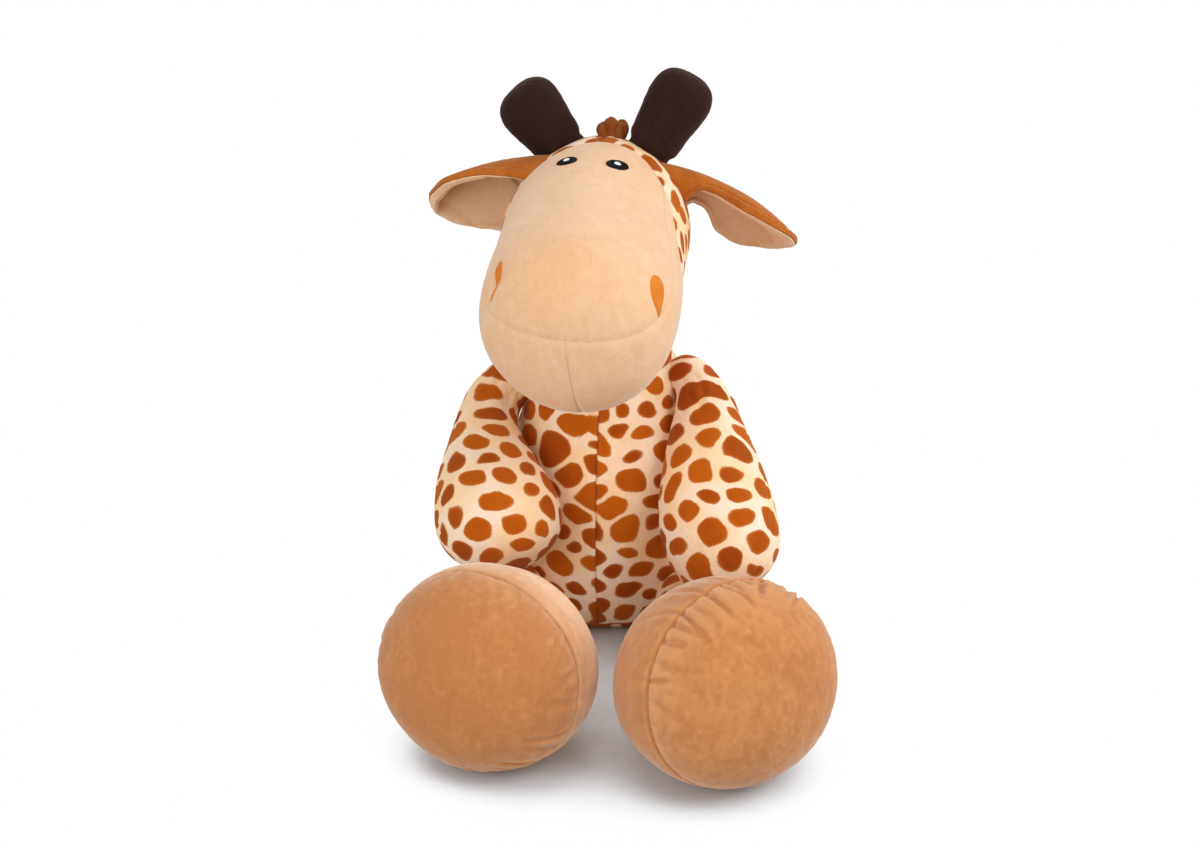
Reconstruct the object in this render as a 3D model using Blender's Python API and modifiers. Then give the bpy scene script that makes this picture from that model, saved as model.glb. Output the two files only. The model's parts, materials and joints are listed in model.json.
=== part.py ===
# Plush giraffe that sits on the floor with its legs out in front.
# Metres, +Z up. It faces -Y, its own left side is +X, and the origin is the middle of the flat seat.
# Each stuffed piece is a sewn fabric cover, cut into the panels that the seams divide, round a core of
# fibre fill. A form is a coarse cage with Subdivision Surface, and every cover, core and clearance
# cutter of that piece is the same form moved in or out along its normals.

import math

import bmesh
import bpy
from mathutils import Matrix, Vector

# Fabric, seams and cutters
FABRIC = 0.0025  # cover fabric with its pile
SEAM_GAP = 0.0003  # clear space between pieces that touch
FILL_GAP = 0.0006  # clear space between a cover and the fill in it
SEAT_CUT = 0.0005  # depth of the flat where a stuffed piece rests on the floor
CUT_OVERRUN = 1.2  # side of the blocks that cut and divide the covers
FORM_LEVELS = 1

# Torso, a pear that narrows to the neck opening
TORSO_HEIGHT = 0.245
TORSO_WIDTH = 0.184
TORSO_DEPTH = 0.172
TORSO_SIDES = 10
# (height share, width share), from the seat to above the neck opening
TORSO_SHARES = [
    (0.00, 0.60),
    (0.09, 0.90),
    (0.32, 1.01),
    (0.57, 0.95),
    (0.78, 0.82),
    (0.93, 0.62),
    (1.06, 0.48),
]
SIDE_SEAM_Y_SHARE = 0.12  # of the torso's depth, behind the middle
BASE_SEAM_HEIGHT = 0.009  # round the base panel that the toy sits on

# Bag of plastic pellets that weighs the seat down
PELLET_BAG_WIDTH = 0.120
PELLET_BAG_DEPTH = 0.105
PELLET_BAG_HEIGHT = 0.036
PELLET_BAG_GAP = 0.0010  # between the bag and the fill that lies over it
PELLET_BAG_SIDES = 8
PELLET_BAG_SHARES = [(0.00, 0.66), (0.36, 1.00), (0.70, 0.98), (0.93, 0.60)]

# Neck, a short tube between the torso and the head
NECK_WIDTH = 0.088
NECK_LENGTH = 0.026  # shows between the torso's top and the head's underside
NECK_SIDES = 20

# Head, a skull that runs forward into a big muzzle
HEAD_LENGTH = 0.312
HEAD_WIDTH = 0.160
HEAD_HEIGHT = 0.158
HEAD_PITCH_DEG = 11.0
HEAD_ROLL_DEG = -4.5  # the crown leans to the toy's right
HEAD_YAW_DEG = -0.9
HEAD_SIDES = 10
SKULL_SHARE = 0.25  # of the length, from the back of the skull to the nod axis
# (length share, width share, height share, shift to the toy's left as a share of the width)
HEAD_SHARES = [
    (0.05, 0.46, 0.48, 0.000),
    (0.16, 0.84, 0.90, -0.020),
    (0.33, 0.97, 1.01, -0.042),
    (0.53, 0.94, 0.94, -0.046),
    (0.72, 0.98, 0.99, -0.004),
    (0.87, 0.94, 0.96, 0.000),
    (0.96, 0.61, 0.62, 0.000),
]
HEAD_NOD_DEG = (0.0, 20.0)
NOD_GAP = 0.0006  # between the head and the hollow on the neck that it nods in
FACE_SEAM_SHARE = 0.32  # of the length, how far in front of the nod axis the face and jaw seams meet
FACE_SEAM_LEAN_DEG = -54.0
MOUTH_SEAM_RISE_SHARE = 0.07  # of the height, above the head's axis at the nose
MOUTH_SEAM_PITCH_DEG = 12.0

# Embroidered eyes: a black patch with a white highlight on it
EYE_WIDTH = 0.0190
EYE_HEIGHT = 0.0140
EYE_SPACING = 0.043
EYE_FORWARD = 0.046  # in front of the nod axis
EYE_TILT_DEG = 12.0
EYE_RISE = 0.0013
HIGHLIGHT_WIDTH = 0.0070
HIGHLIGHT_HEIGHT = 0.0050
HIGHLIGHT_RISE = 0.0008
PATCH_SIDES = 18

# Nostril patches
NOSTRIL_LENGTH = 0.032
NOSTRIL_WIDTH = 0.016
NOSTRIL_FORWARD = 0.190
NOSTRIL_SIDE_DEG = {"left": 65.0, "right": 53.0}  # round the muzzle from straight up
NOSTRIL_RISE = 0.0013

# Horns, stuffed clubs
HORN_LENGTHS = {"left": 0.075, "right": 0.0665}
HORN_WIDTH = 0.054
HORN_PLACES = {"left": 0.0305, "right": -0.0410}  # to the toy's left of the crown's middle
HORN_BACK = 0.010
HORN_LEAN_DEG = {"left": 35.0, "right": 33.0}
HORN_BACK_LEAN_DEG = {"left": 8.0, "right": -6.0}
HORN_ROOT = 0.016  # length inside the head's outline, which the head cuts away
HORN_SIDES = 6
HORN_SHARES = [(0.10, 0.76), (0.40, 0.80), (0.76, 1.04), (0.94, 0.74)]

# Ears: a leaf of outer fabric with a lining, curled round its own length so that it opens to the front
EAR_LENGTHS = {"left": 0.122, "right": 0.099}
EAR_WIDTH = 0.096  # along the curl
# half of the curl's arc, at the root and at the tip
EAR_CURL_DEG = {"left": (96.0, 60.0), "right": (84.0, 66.0)}
EAR_BEND_DEG = {"left": 34.0, "right": 25.0}  # how much more the tip droops than the root
EAR_FABRIC = 0.0022
EAR_HEIGHT = 0.046  # root above the nod axis
EAR_BACK = 0.004
EAR_ROOT = 0.012  # length inside the head's outline, which the head cuts away
EAR_FLAP_DEG = (-18.0, 30.0)
EAR_SEGMENTS = (5, 4)
# (length share, width share)
EAR_PROFILE_SHARES = {
    "left": [(0.00, 0.42), (0.18, 0.62), (0.38, 0.94), (0.62, 0.97), (0.84, 0.76), (1.00, 0.38)],
    "right": [(0.00, 0.72), (0.18, 0.98), (0.38, 1.04), (0.62, 1.00), (0.84, 0.88), (1.00, 0.60)],
}
# droop at the root, turn about the ear's own length, and sweep to the back
EAR_POSE_DEG = {"left": (13.0, 140.0, 4.0), "right": (9.0, 128.0, 14.0)}

# Hair tuft and mane
TUFT_HEIGHT = 0.013
TUFT_ROOT = 0.007  # length inside the head's outline, which the head cuts away
TUFT_WIDTH = 0.023
TUFT_DEPTH = 0.024
TUFT_BACK = 0.014
TUFT_SIDES = 6
TUFT_SHARES = [(0.10, 0.80), (0.45, 1.00), (0.80, 0.90), (0.96, 0.55)]
MANE_WIDTH = 0.016
MANE_HEIGHT = 0.010
MANE_START = 0.036  # behind the nod axis
MANE_END_DROP = 0.030  # below the nod axis

# Arms, drops that swell towards the hand
ARM_LENGTH = 0.190
ARM_WIDTH = 0.096
ARM_SIDES = 8
ARM_RING_HINT = (1.0, 0.3, 0.0)  # the way each ring's width lies
SHOULDER_HEIGHT_SHARE = 0.905  # of the torso's height
SHOULDER_INSET = 0.006  # the arm's root inside the torso's outline
ARM_RAISE_DEG = (0.0, 60.0)
# (x, y, z) shares of the arm's length from the shoulder, x away from the torso, and the width share
ARM_SHARES = {
    "left": [
        (-0.08, 0.00, 0.00, None),
        (0.05, -0.01, 0.01, 0.40),
        (0.17, -0.15, -0.08, 0.46),
        (0.20, -0.33, -0.24, 0.73),
        (0.27, -0.52, -0.47, 1.00),
        (0.32, -0.62, -0.64, 0.80),
        (0.33, -0.66, -0.74, None),
    ],
    "right": [
        (-0.08, 0.00, 0.00, None),
        (0.05, -0.01, 0.01, 0.40),
        (0.26, -0.15, -0.14, 0.56),
        (0.23, -0.36, -0.33, 0.84),
        (0.12, -0.56, -0.49, 1.13),
        (-0.02, -0.68, -0.55, 0.82),
        (-0.11, -0.75, -0.58, None),
    ],
}

# Legs and feet
LEG_WIDTH = 0.070
LEG_SIDES = 8
LEG_LIFT = 0.0012  # the leg tube stays this far above the floor
LEG_SHARES = (0.0, 0.04, 0.46, 0.88, 0.93)  # of the way from behind the hip to the middle of the foot
HIP_SPACING = 0.148
HIP_SWING_DEG = (0.0, 75.0)
HIP_SWEEP_STEPS = 12  # the leg tube hugs the torso, so its clearance cut takes finer steps
HIP_BACK = 0.052  # in front of the seat's middle
LEG_SPLAY_DEG = {"left": 12.4, "right": 6.1}
FOOT_REACH = {"left": 0.236, "right": 0.232}  # from the hip hinge to the middle of the foot
FOOT_WIDTHS = {"left": 0.174, "right": 0.176}
FOOT_HEIGHTS = {"left": 0.158, "right": 0.158}
FOOT_DEPTHS = {"left": 0.160, "right": 0.152}
FOOT_SINK = 0.0018  # how far the ball reaches below the floor, which cuts the flat that it rests on
FOOT_SIDES = 10
FOOT_TURN_DEG = {"left": 46.0, "right": -19.0}
FOOT_TILT_DEG = {"left": -12.0, "right": -6.0}  # the sole looks up by this much
# (depth share from the back, width share)
FOOT_SHARES = [(0.08, 0.52), (0.28, 0.90), (0.54, 1.02), (0.78, 0.94), (0.95, 0.56)]
SOLE_SEAM_SHARE = 0.62  # of the foot's depth, from the back

# Tail: a stuffed cord with a tuft, which lies on the floor behind the seat
TAIL_LENGTH = 0.105
TAIL_WIDTH = 0.013
TAIL_ROOT_HEIGHT = 0.040
TAIL_SIDES = 6
TAIL_TUFT_LENGTH = 0.046
TAIL_TUFT_WIDTH = 0.026
TAIL_TUFT_SHARES = (0.72, 1.00, 0.94, 0.55)
ROPE_SHARES = (0.0, 0.05, 0.35, 0.65, 0.95, 1.0)
TAIL_SWING_DEG = (0.0, 70.0)

SWEEP_STEPS = 3  # steps of a joint that a clearance cut is made for

# Colour, roughness and metallic value
MATERIALS = {
    "spotted_plush": ((0.74, 0.40, 0.17), 0.90, 0.0),
    "cream_plush": ((0.84, 0.58, 0.34), 0.90, 0.0),
    "tan_plush": ((0.58, 0.28, 0.11), 0.90, 0.0),
    "rust_plush": ((0.44, 0.13, 0.025), 0.90, 0.0),
    "dark_plush": ((0.036, 0.015, 0.013), 0.92, 0.0),
    "black_thread": ((0.010, 0.010, 0.010), 0.55, 0.0),
    "white_thread": ((0.85, 0.85, 0.85), 0.50, 0.0),
    "orange_felt": ((0.55, 0.19, 0.035), 0.90, 0.0),
    "fibre_fill": ((0.86, 0.86, 0.84), 0.95, 0.0),
    "pellet_cloth": ((0.70, 0.69, 0.66), 0.85, 0.0),
}

SIDES = {"left": 1.0, "right": -1.0}


def clear_scene():
    for obj in list(bpy.data.objects):
        bpy.data.objects.remove(obj, do_unlink=True)


def new_collection(name):
    collection = bpy.data.collections.new(name)
    bpy.context.scene.collection.children.link(collection)
    return collection


def material(name):
    if name in bpy.data.materials:
        return bpy.data.materials[name]
    colour, roughness, metallic = MATERIALS[name]
    made = bpy.data.materials.new(name)
    made.use_nodes = True
    shader = made.node_tree.nodes["Principled BSDF"]
    shader.inputs["Base Color"].default_value = (*colour, 1.0)
    shader.inputs["Roughness"].default_value = roughness
    shader.inputs["Metallic"].default_value = metallic
    return made


def mesh_from(bm, name):
    bmesh.ops.recalc_face_normals(bm, faces=bm.faces)
    if bm.calc_volume(signed=True) < 0:
        bmesh.ops.reverse_faces(bm, faces=bm.faces)
    mesh = bpy.data.meshes.new(name)
    bm.to_mesh(mesh)
    bm.free()
    mesh.shade_smooth()
    return mesh


def loft_cage(name, spine, halves, sides, side_hint):
    """A unit sphere's rings set on the points of a spine, each with its own half width and half height."""
    last = len(spine) - 1
    bm = bmesh.new()
    bmesh.ops.create_uvsphere(bm, u_segments=sides, v_segments=last, radius=1.0)
    swell = 3.0 / (2.0 + math.cos(2.0 * math.pi / sides))  # Subdivision Surface draws a ring in by this
    for vert in bm.verts:
        angle = math.acos(max(-1.0, min(1.0, vert.co.z)))
        row = round(angle / math.pi * last)
        if row in (0, last):
            vert.co = spine[row]
            continue
        tangent = (spine[row + 1] - spine[row - 1]).normalized()
        across = (side_hint - tangent * side_hint.dot(tangent)).normalized()
        upward = across.cross(tangent)
        half_width, half_height = halves[row - 1]
        around = vert.co.xy.normalized()
        offset = across * (around.x * half_width) + upward * (around.y * half_height)
        vert.co = spine[row] + offset * swell
    return mesh_from(bm, name)


class Form:
    """The outer surface of one stuffed piece, and where it lies."""

    def __init__(self, name, mesh, matrix):
        self.name = name
        self.mesh = mesh
        self.matrix = matrix

    def object(self, name, collection, offset=0.0, matrix=None):
        made = bpy.data.objects.new(name, self.mesh)
        made.matrix_world = matrix or self.matrix
        collection.objects.link(made)
        subdivision = made.modifiers.new("Subdivision", "SUBSURF")
        subdivision.levels = subdivision.render_levels = FORM_LEVELS
        made.modifiers.new("Facets", "TRIANGULATE").quad_method = "FIXED"
        if offset:
            displace = made.modifiers.new("Offset", "DISPLACE")
            displace.mid_level = 0.0
            displace.strength = offset
        return made


class Giraffe:
    """Collects the finished pieces, their helpers and the empties on the joint axes."""

    def __init__(self):
        self.parts = new_collection("plush_giraffe")
        self.cutters = new_collection("cutters")

    def helper(self, obj):
        obj.hide_render = True
        obj.display_type = "WIRE"
        return obj

    def axis(self, name, position):
        empty = bpy.data.objects.new(name, None)
        empty.location = position
        self.parts.objects.link(empty)
        return empty

    def finish(self, obj, slot, parent=None):
        obj.data.materials.clear()
        obj.data.materials.append(material(slot))
        if parent:
            obj.parent = parent
            obj.matrix_parent_inverse = Matrix.Translation(-parent.location)
        return obj

    def own_mesh(self, obj):
        obj.data = obj.data.copy()
        return obj

    def cover(self, name, form, slot, parent=None, thickness=FABRIC):
        obj = self.own_mesh(form.object(name, self.parts))
        shell = obj.modifiers.new("Fabric", "SOLIDIFY")
        shell.thickness = thickness
        shell.offset = -1.0
        return self.finish(obj, slot, parent)

    def core(self, name, form, slot="fibre_fill", parent=None):
        obj = self.own_mesh(form.object(name, self.parts, offset=-(FABRIC + FILL_GAP)))
        return self.finish(obj, slot, parent)

    def clearance(self, form, gap=SEAM_GAP, turn=None):
        matrix = form.matrix if turn is None else turn @ form.matrix
        return self.helper(form.object(form.name + "_clearance", self.cutters, gap, matrix))

    def rest_on_floor(self, form, sink):
        """Moves a form up or down until its lowest point is as far below the floor as the sink."""
        made = self.helper(form.object(form.name + "_rest", self.cutters))
        bpy.context.view_layer.update()
        found = made.evaluated_get(bpy.context.evaluated_depsgraph_get())
        lowest = min((form.matrix @ vert.co).z for vert in found.data.vertices)
        bpy.data.objects.remove(made)
        form.matrix = Matrix.Translation((0, 0, -sink - lowest)) @ form.matrix
        return form

    def on_surface(self, form, start, direction):
        """Where a ray that starts inside a form leaves it."""
        probe = form.object("probe", self.cutters)
        bpy.context.view_layer.update()
        into = form.matrix.inverted()
        solid = probe.evaluated_get(bpy.context.evaluated_depsgraph_get())
        _, place, _, _ = solid.ray_cast(into @ Vector(start), into.to_3x3() @ Vector(direction))
        bpy.data.objects.remove(probe)
        return form.matrix @ place

    def block(self, name, point, normal):
        """A block whose face through the point looks back along the normal, so it fills that side."""
        bm = bmesh.new()
        bmesh.ops.create_cube(bm, size=CUT_OVERRUN)
        obj = bpy.data.objects.new(name, mesh_from(bm, name))
        facing = Vector(normal).normalized()
        turn = facing.to_track_quat("Z", "Y").to_matrix().to_4x4()
        obj.matrix_world = Matrix.Translation(Vector(point) + facing * (CUT_OVERRUN / 2)) @ turn
        self.cutters.objects.link(obj)
        return self.helper(obj)

    def cell(self, name, low, high, matrix=None):
        """A box from one corner to the other, in the matrix's own axes."""
        bm = bmesh.new()
        bmesh.ops.create_cube(bm, size=1.0)
        size = Vector(high) - Vector(low)
        bmesh.ops.scale(bm, verts=bm.verts, vec=size)
        bmesh.ops.translate(bm, verts=bm.verts, vec=(Vector(high) + Vector(low)) / 2)
        obj = bpy.data.objects.new(name, mesh_from(bm, name))
        obj.matrix_world = matrix or Matrix.Identity(4)
        self.cutters.objects.link(obj)
        return self.helper(obj)

    def rod(self, name, matrix, width, height, length, sides, collection):
        """An oval rod that starts at the matrix's origin and runs along its Z."""
        bm = bmesh.new()
        bmesh.ops.create_cone(bm, cap_ends=True, segments=sides, radius1=1.0, radius2=1.0, depth=1.0)
        bmesh.ops.scale(bm, verts=bm.verts, vec=(width / 2, height / 2, length))
        bmesh.ops.translate(bm, verts=bm.verts, vec=(0.0, 0.0, length / 2))
        obj = bpy.data.objects.new(name, mesh_from(bm, name))
        obj.matrix_world = matrix
        collection.objects.link(obj)
        return obj

    def prism(self, name, matrix, width, height, length):
        """A rod that only cuts."""
        return self.helper(self.rod(name, matrix, width, height, length, PATCH_SIDES, self.cutters))

    def patch(self, name, form, low, high, keepers, slot, parent):
        """A piece that lies on a form's surface, from low to high above it, where the keepers allow."""
        obj = self.own_mesh(form.object(name, self.parts, offset=high))
        for keeper in keepers:
            keep(obj, keeper)
        cut(obj, self.clearance(form, low))
        return self.finish(obj, slot, parent)


def boolean(obj, cutter, operation):
    modifier = obj.modifiers.new(operation.title(), "BOOLEAN")
    modifier.operation = operation
    modifier.solver = "EXACT"
    modifier.object = cutter


def cut(obj, cutter):
    boolean(obj, cutter, "DIFFERENCE")


def keep(obj, cutter):
    boolean(obj, cutter, "INTERSECT")


def turn_about(point, axis, degrees):
    there = Matrix.Translation(Vector(point))
    return there @ Matrix.Rotation(math.radians(degrees), 4, Vector(axis)) @ there.inverted()


def sweep(limits, steps=SWEEP_STEPS):
    """Joint angles from one limit to the other, with rest among them."""
    low, high = limits
    angles = [low + (high - low) * step / steps for step in range(steps + 1)]
    return sorted(set(angles + [0.0]))


def torso_form():
    spine = [Vector((0.0, 0.0, TORSO_HEIGHT * share - SEAT_CUT)) for share, _ in TORSO_SHARES]
    halves = [(TORSO_WIDTH / 2 * share, TORSO_DEPTH / 2 * share) for _, share in TORSO_SHARES]
    top = spine[-1] + (spine[-1] - spine[-2]) / 2
    mesh = loft_cage("torso_cage", [spine[0], *spine, top], halves, TORSO_SIDES, Vector((1, 0, 0)))
    return Form("torso", mesh, Matrix.Identity(4))


def crown_matrix():
    """The nod axis's middle, with the head's roll but not its pitch."""
    height = TORSO_HEIGHT + NECK_LENGTH + HEAD_HEIGHT / 2
    return Matrix.Translation((0.0, 0.0, height)) @ Matrix.Rotation(math.radians(HEAD_ROLL_DEG), 4, "Y")


def head_matrix():
    yaw = Matrix.Rotation(math.radians(HEAD_YAW_DEG), 4, "Z")
    return crown_matrix() @ yaw @ Matrix.Rotation(math.radians(HEAD_PITCH_DEG), 4, "X")


def head_form():
    back = HEAD_LENGTH * SKULL_SHARE
    spine = [Vector((0.0, back, 0.0))]
    halves = []
    for along, width, height, shift in HEAD_SHARES:
        spine.append(Vector((HEAD_WIDTH * shift, back - HEAD_LENGTH * along, 0.0)))
        halves.append((HEAD_WIDTH / 2 * width, HEAD_HEIGHT / 2 * height))
    spine.append(Vector((0.0, back - HEAD_LENGTH, 0.0)))
    mesh = loft_cage("head_cage", spine, halves, HEAD_SIDES, Vector((1, 0, 0)))
    return Form("head", mesh, head_matrix())


def shoulder(giraffe, torso, side):
    """The middle of an arm's root, a little inside the torso's outline."""
    sign = SIDES[side]
    height = TORSO_HEIGHT * SHOULDER_HEIGHT_SHARE
    return giraffe.on_surface(torso, (0, 0, height), (sign, 0, 0)) - Vector((sign * SHOULDER_INSET, 0, 0))


def arm_form(side, root):
    sign = SIDES[side]
    shares = ARM_SHARES[side]
    spine = [Vector((sign * x, y, z)) * ARM_LENGTH for x, y, z, _ in shares]
    halves = [(ARM_WIDTH / 2 * width,) * 2 for _, _, _, width in shares[1:-1]]
    mesh = loft_cage(side + "_arm_cage", spine, halves, ARM_SIDES, Vector(ARM_RING_HINT))
    return Form(side + "_arm", mesh, Matrix.Translation(root))


def leg_direction(side):
    angle = math.radians(LEG_SPLAY_DEG[side])
    return Vector((math.sin(angle), -math.cos(angle), 0.0))


def hip(side):
    return Vector((SIDES[side] * HIP_SPACING / 2, -HIP_BACK, 0.0))


def foot_centre(side):
    return hip(side) + leg_direction(side) * FOOT_REACH[side] + Vector((0, 0, FOOT_HEIGHTS[side] / 2))


def foot_form(side):
    width, height, depth = FOOT_WIDTHS[side], FOOT_HEIGHTS[side], FOOT_DEPTHS[side]
    spine = [Vector((0.0, depth / 2, 0.0))]
    spine += [Vector((0.0, depth / 2 - depth * share, 0.0)) for share, _ in FOOT_SHARES]
    spine.append(Vector((0.0, -depth / 2, 0.0)))
    halves = [(width / 2 * share, height / 2 * share) for _, share in FOOT_SHARES]
    mesh = loft_cage(side + "_foot_cage", spine, halves, FOOT_SIDES, Vector((1, 0, 0)))
    turn = Matrix.Rotation(math.radians(FOOT_TURN_DEG[side]), 4, "Z")
    turn = turn @ Matrix.Rotation(math.radians(FOOT_TILT_DEG[side]), 4, "X")
    return Form(side + "_foot", mesh, Matrix.Translation(foot_centre(side)) @ turn)


def leg_form(side):
    direction = leg_direction(side)
    height = Vector((0.0, 0.0, LEG_WIDTH / 2 + LEG_LIFT))
    reach = HIP_BACK + FOOT_REACH[side]
    start = hip(side) - direction * HIP_BACK + height
    spine = [start + direction * (reach * share) for share in LEG_SHARES]
    halves = [(LEG_WIDTH / 2,) * 2] * (len(spine) - 2)
    mesh = loft_cage(side + "_leg_cage", spine, halves, LEG_SIDES, Vector((0, 0, 1)))
    return Form(side + "_leg", mesh, Matrix.Identity(4))


def build_torso(giraffe, torso):
    side_y = TORSO_DEPTH * SIDE_SEAM_Y_SHARE
    half = SEAM_GAP / 2
    reach = CUT_OVERRUN / 2
    above_base = BASE_SEAM_HEIGHT + SEAM_GAP
    cells = [
        ("body_front_left", (half, -reach, above_base), (reach, side_y - half, TORSO_HEIGHT)),
        ("body_front_right", (-reach, -reach, above_base), (-half, side_y - half, TORSO_HEIGHT)),
        ("body_back", (-reach, side_y + half, above_base), (reach, reach, TORSO_HEIGHT)),
        ("body_base", (-reach, -reach, 0.0), (reach, reach, BASE_SEAM_HEIGHT)),
    ]
    for name, low, high in cells:
        panel = giraffe.cover(name, torso, "spotted_plush")
        keep(panel, giraffe.cell(name + "_cell", low, high))
    bag_rows = [
        (Vector((0, 0, PELLET_BAG_HEIGHT * share)), width) for share, width in PELLET_BAG_SHARES
    ]
    spine = [Vector((0, 0, 0)), *[row for row, _ in bag_rows], Vector((0, 0, PELLET_BAG_HEIGHT))]
    halves = [(PELLET_BAG_WIDTH / 2 * w, PELLET_BAG_DEPTH / 2 * w) for _, w in bag_rows]
    bag_mesh = loft_cage("pellet_bag_cage", spine, halves, PELLET_BAG_SIDES, Vector((1, 0, 0)))
    bag_floor = FABRIC + SEAM_GAP - SEAT_CUT
    bag = Form("pellet_bag", bag_mesh, Matrix.Translation((0, 0, bag_floor)))
    giraffe.finish(giraffe.own_mesh(bag.object("pellet_bag", giraffe.parts)), "pellet_cloth")
    core = giraffe.core("body_stuffing", torso)
    cut(core, giraffe.clearance(bag, PELLET_BAG_GAP))
    cut(core, giraffe.block("above_neck_seam", (0, 0, TORSO_HEIGHT), (0, 0, 1)))


def build_neck(giraffe, head, nod_axis, turn_axis):
    height = NECK_LENGTH + HEAD_HEIGHT / 2
    start = Matrix.Translation((0.0, 0.0, TORSO_HEIGHT + SEAM_GAP))
    clear_of_head = [
        giraffe.clearance(head, NOD_GAP, turn_about(nod_axis, (-1, 0, 0), angle))
        for angle in sweep(HEAD_NOD_DEG)
    ]
    bore_width = NECK_WIDTH - 2 * FABRIC
    fill_width = bore_width - 2 * FILL_GAP
    cover = giraffe.rod("neck_cover", start, NECK_WIDTH, NECK_WIDTH, height, NECK_SIDES, giraffe.parts)
    fill = giraffe.rod("neck_stuffing", start, fill_width, fill_width, height, NECK_SIDES, giraffe.parts)
    below = Matrix.Translation((0.0, 0.0, TORSO_HEIGHT - NECK_LENGTH))
    bore = giraffe.rod(
        "neck_bore", below, bore_width, bore_width, height + 2 * NECK_LENGTH, NECK_SIDES, giraffe.cutters
    )
    cut(cover, giraffe.helper(bore))
    for obj, slot in ((cover, "spotted_plush"), (fill, "fibre_fill")):
        for cutter in clear_of_head:
            cut(obj, cutter)
        giraffe.finish(obj, slot, turn_axis)


def build_head(giraffe, head, axis):
    half = SEAM_GAP / 2
    place, turned = head.matrix, head.matrix.to_3x3()
    pitch = Matrix.Rotation(math.radians(MOUTH_SEAM_PITCH_DEG), 3, "X")
    lean = Matrix.Rotation(math.radians(FACE_SEAM_LEAN_DEG), 3, "X")
    meeting = place @ Vector((0, -HEAD_LENGTH * FACE_SEAM_SHARE, 0))
    mouth_point = place @ Vector((0, HEAD_LENGTH * (SKULL_SHARE - 1), HEAD_HEIGHT * MOUTH_SEAM_RISE_SHARE))
    face_aim = turned @ lean @ Vector((0, -1, 0))
    jaw_aim = turned @ Vector((0, -1, 0))
    mouth_aim = turned @ pitch @ Vector((0, 0, 1))
    across = turned @ Vector((1, 0, 0))
    in_front = giraffe.block("front_of_face_seam", meeting + face_aim * half, face_aim)
    behind = giraffe.block("back_of_face_seam", meeting - face_aim * half, -face_aim)
    after = giraffe.block("back_of_jaw_seam", meeting - jaw_aim * half, -jaw_aim)
    above = giraffe.block("above_mouth_seam", mouth_point + mouth_aim * half, mouth_aim)
    below = giraffe.block("below_mouth_seam", mouth_point - mouth_aim * half, -mouth_aim)
    left = giraffe.block("left_of_chin_seam", place.translation + across * half, across)
    right = giraffe.block("right_of_chin_seam", place.translation - across * half, -across)
    skull = giraffe.block("skull_side_of_seams", meeting + face_aim * half, -face_aim)
    keep(skull, giraffe.block("skull_side_of_jaw_seam", meeting + jaw_aim * half, -jaw_aim))
    panels = [
        ("face_panel", "cream_plush", [in_front, above]),
        ("chin_left", "cream_plush", [below, left]),
        ("chin_right", "cream_plush", [below, right]),
        ("head_back_left", "spotted_plush", [behind, after, left]),
        ("head_back_right", "spotted_plush", [behind, after, right]),
    ]
    for name, slot, keepers in panels:
        panel = giraffe.cover(name, head, slot, axis)
        for keeper in keepers:
            keep(panel, keeper)
        if name.startswith("chin"):
            cut(panel, skull)
    giraffe.core("head_stuffing", head, parent=axis)


def aimed(point, direction, roll_hint):
    """A matrix at a point whose Z runs along the direction and whose X lies along the hint."""
    z = Vector(direction).normalized()
    x = (Vector(roll_hint) - z * Vector(roll_hint).dot(z)).normalized()
    y = z.cross(x)
    return Matrix.Translation(point) @ Matrix((x, y, z)).transposed().to_4x4()


def build_face(giraffe, head, axis):
    place = head.matrix
    for side, sign in SIDES.items():
        inside = Vector((sign * EYE_SPACING / 2, -EYE_FORWARD, 0))
        tilt = math.radians(EYE_TILT_DEG) * sign
        across = Matrix.Rotation(tilt, 3, "Z") @ Vector((1, 0, 0))
        eye_aim = place @ aimed(inside, (0, 0, 1), across)
        length = HEAD_HEIGHT
        eye = giraffe.prism(side + "_eye_outline", eye_aim, EYE_WIDTH, EYE_HEIGHT, length)
        giraffe.patch(side + "_eye", head, SEAM_GAP, EYE_RISE, [eye], "black_thread", axis)
        spark = giraffe.prism(side + "_spark", eye_aim, HIGHLIGHT_WIDTH, HIGHLIGHT_HEIGHT, length)
        low = EYE_RISE + SEAM_GAP
        giraffe.patch(
            side + "_eye_highlight", head, low, low + HIGHLIGHT_RISE, [spark], "white_thread", axis
        )
        round_angle = math.radians(NOSTRIL_SIDE_DEG[side])
        outward = Vector((sign * math.sin(round_angle), 0, math.cos(round_angle)))
        nostril_aim = place @ aimed((0, -NOSTRIL_FORWARD, 0), outward, (0, -1, 0))
        nostril = giraffe.prism(
            side + "_nostril_outline", nostril_aim, NOSTRIL_WIDTH, NOSTRIL_LENGTH, HEAD_WIDTH
        )
        giraffe.patch(side + "_nostril", head, SEAM_GAP, NOSTRIL_RISE, [nostril], "orange_felt", axis)


def horn_form(giraffe, head, side):
    lean = math.radians(HORN_LEAN_DEG[side]) * SIDES[side]
    back = math.radians(HORN_BACK_LEAN_DEG[side])
    direction = Matrix.Rotation(-back, 3, "X") @ Vector((math.sin(lean), 0, math.cos(lean)))
    inside = crown_matrix() @ Vector((HORN_PLACES[side], HORN_BACK, 0))
    base = crown_matrix().inverted() @ giraffe.on_surface(head, inside, (0, 0, 1))
    start = base - direction * HORN_ROOT
    reach = HORN_LENGTHS[side] + HORN_ROOT
    spine = [start, *[start + direction * (reach * share) for share, _ in HORN_SHARES]]
    spine.append(start + direction * reach)
    halves = [(HORN_WIDTH / 2 * share,) * 2 for _, share in HORN_SHARES]
    mesh = loft_cage(side + "_horn_cage", spine, halves, HORN_SIDES, Vector((1, 0, 0)))
    return Form(side + "_horn", mesh, crown_matrix())


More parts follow.
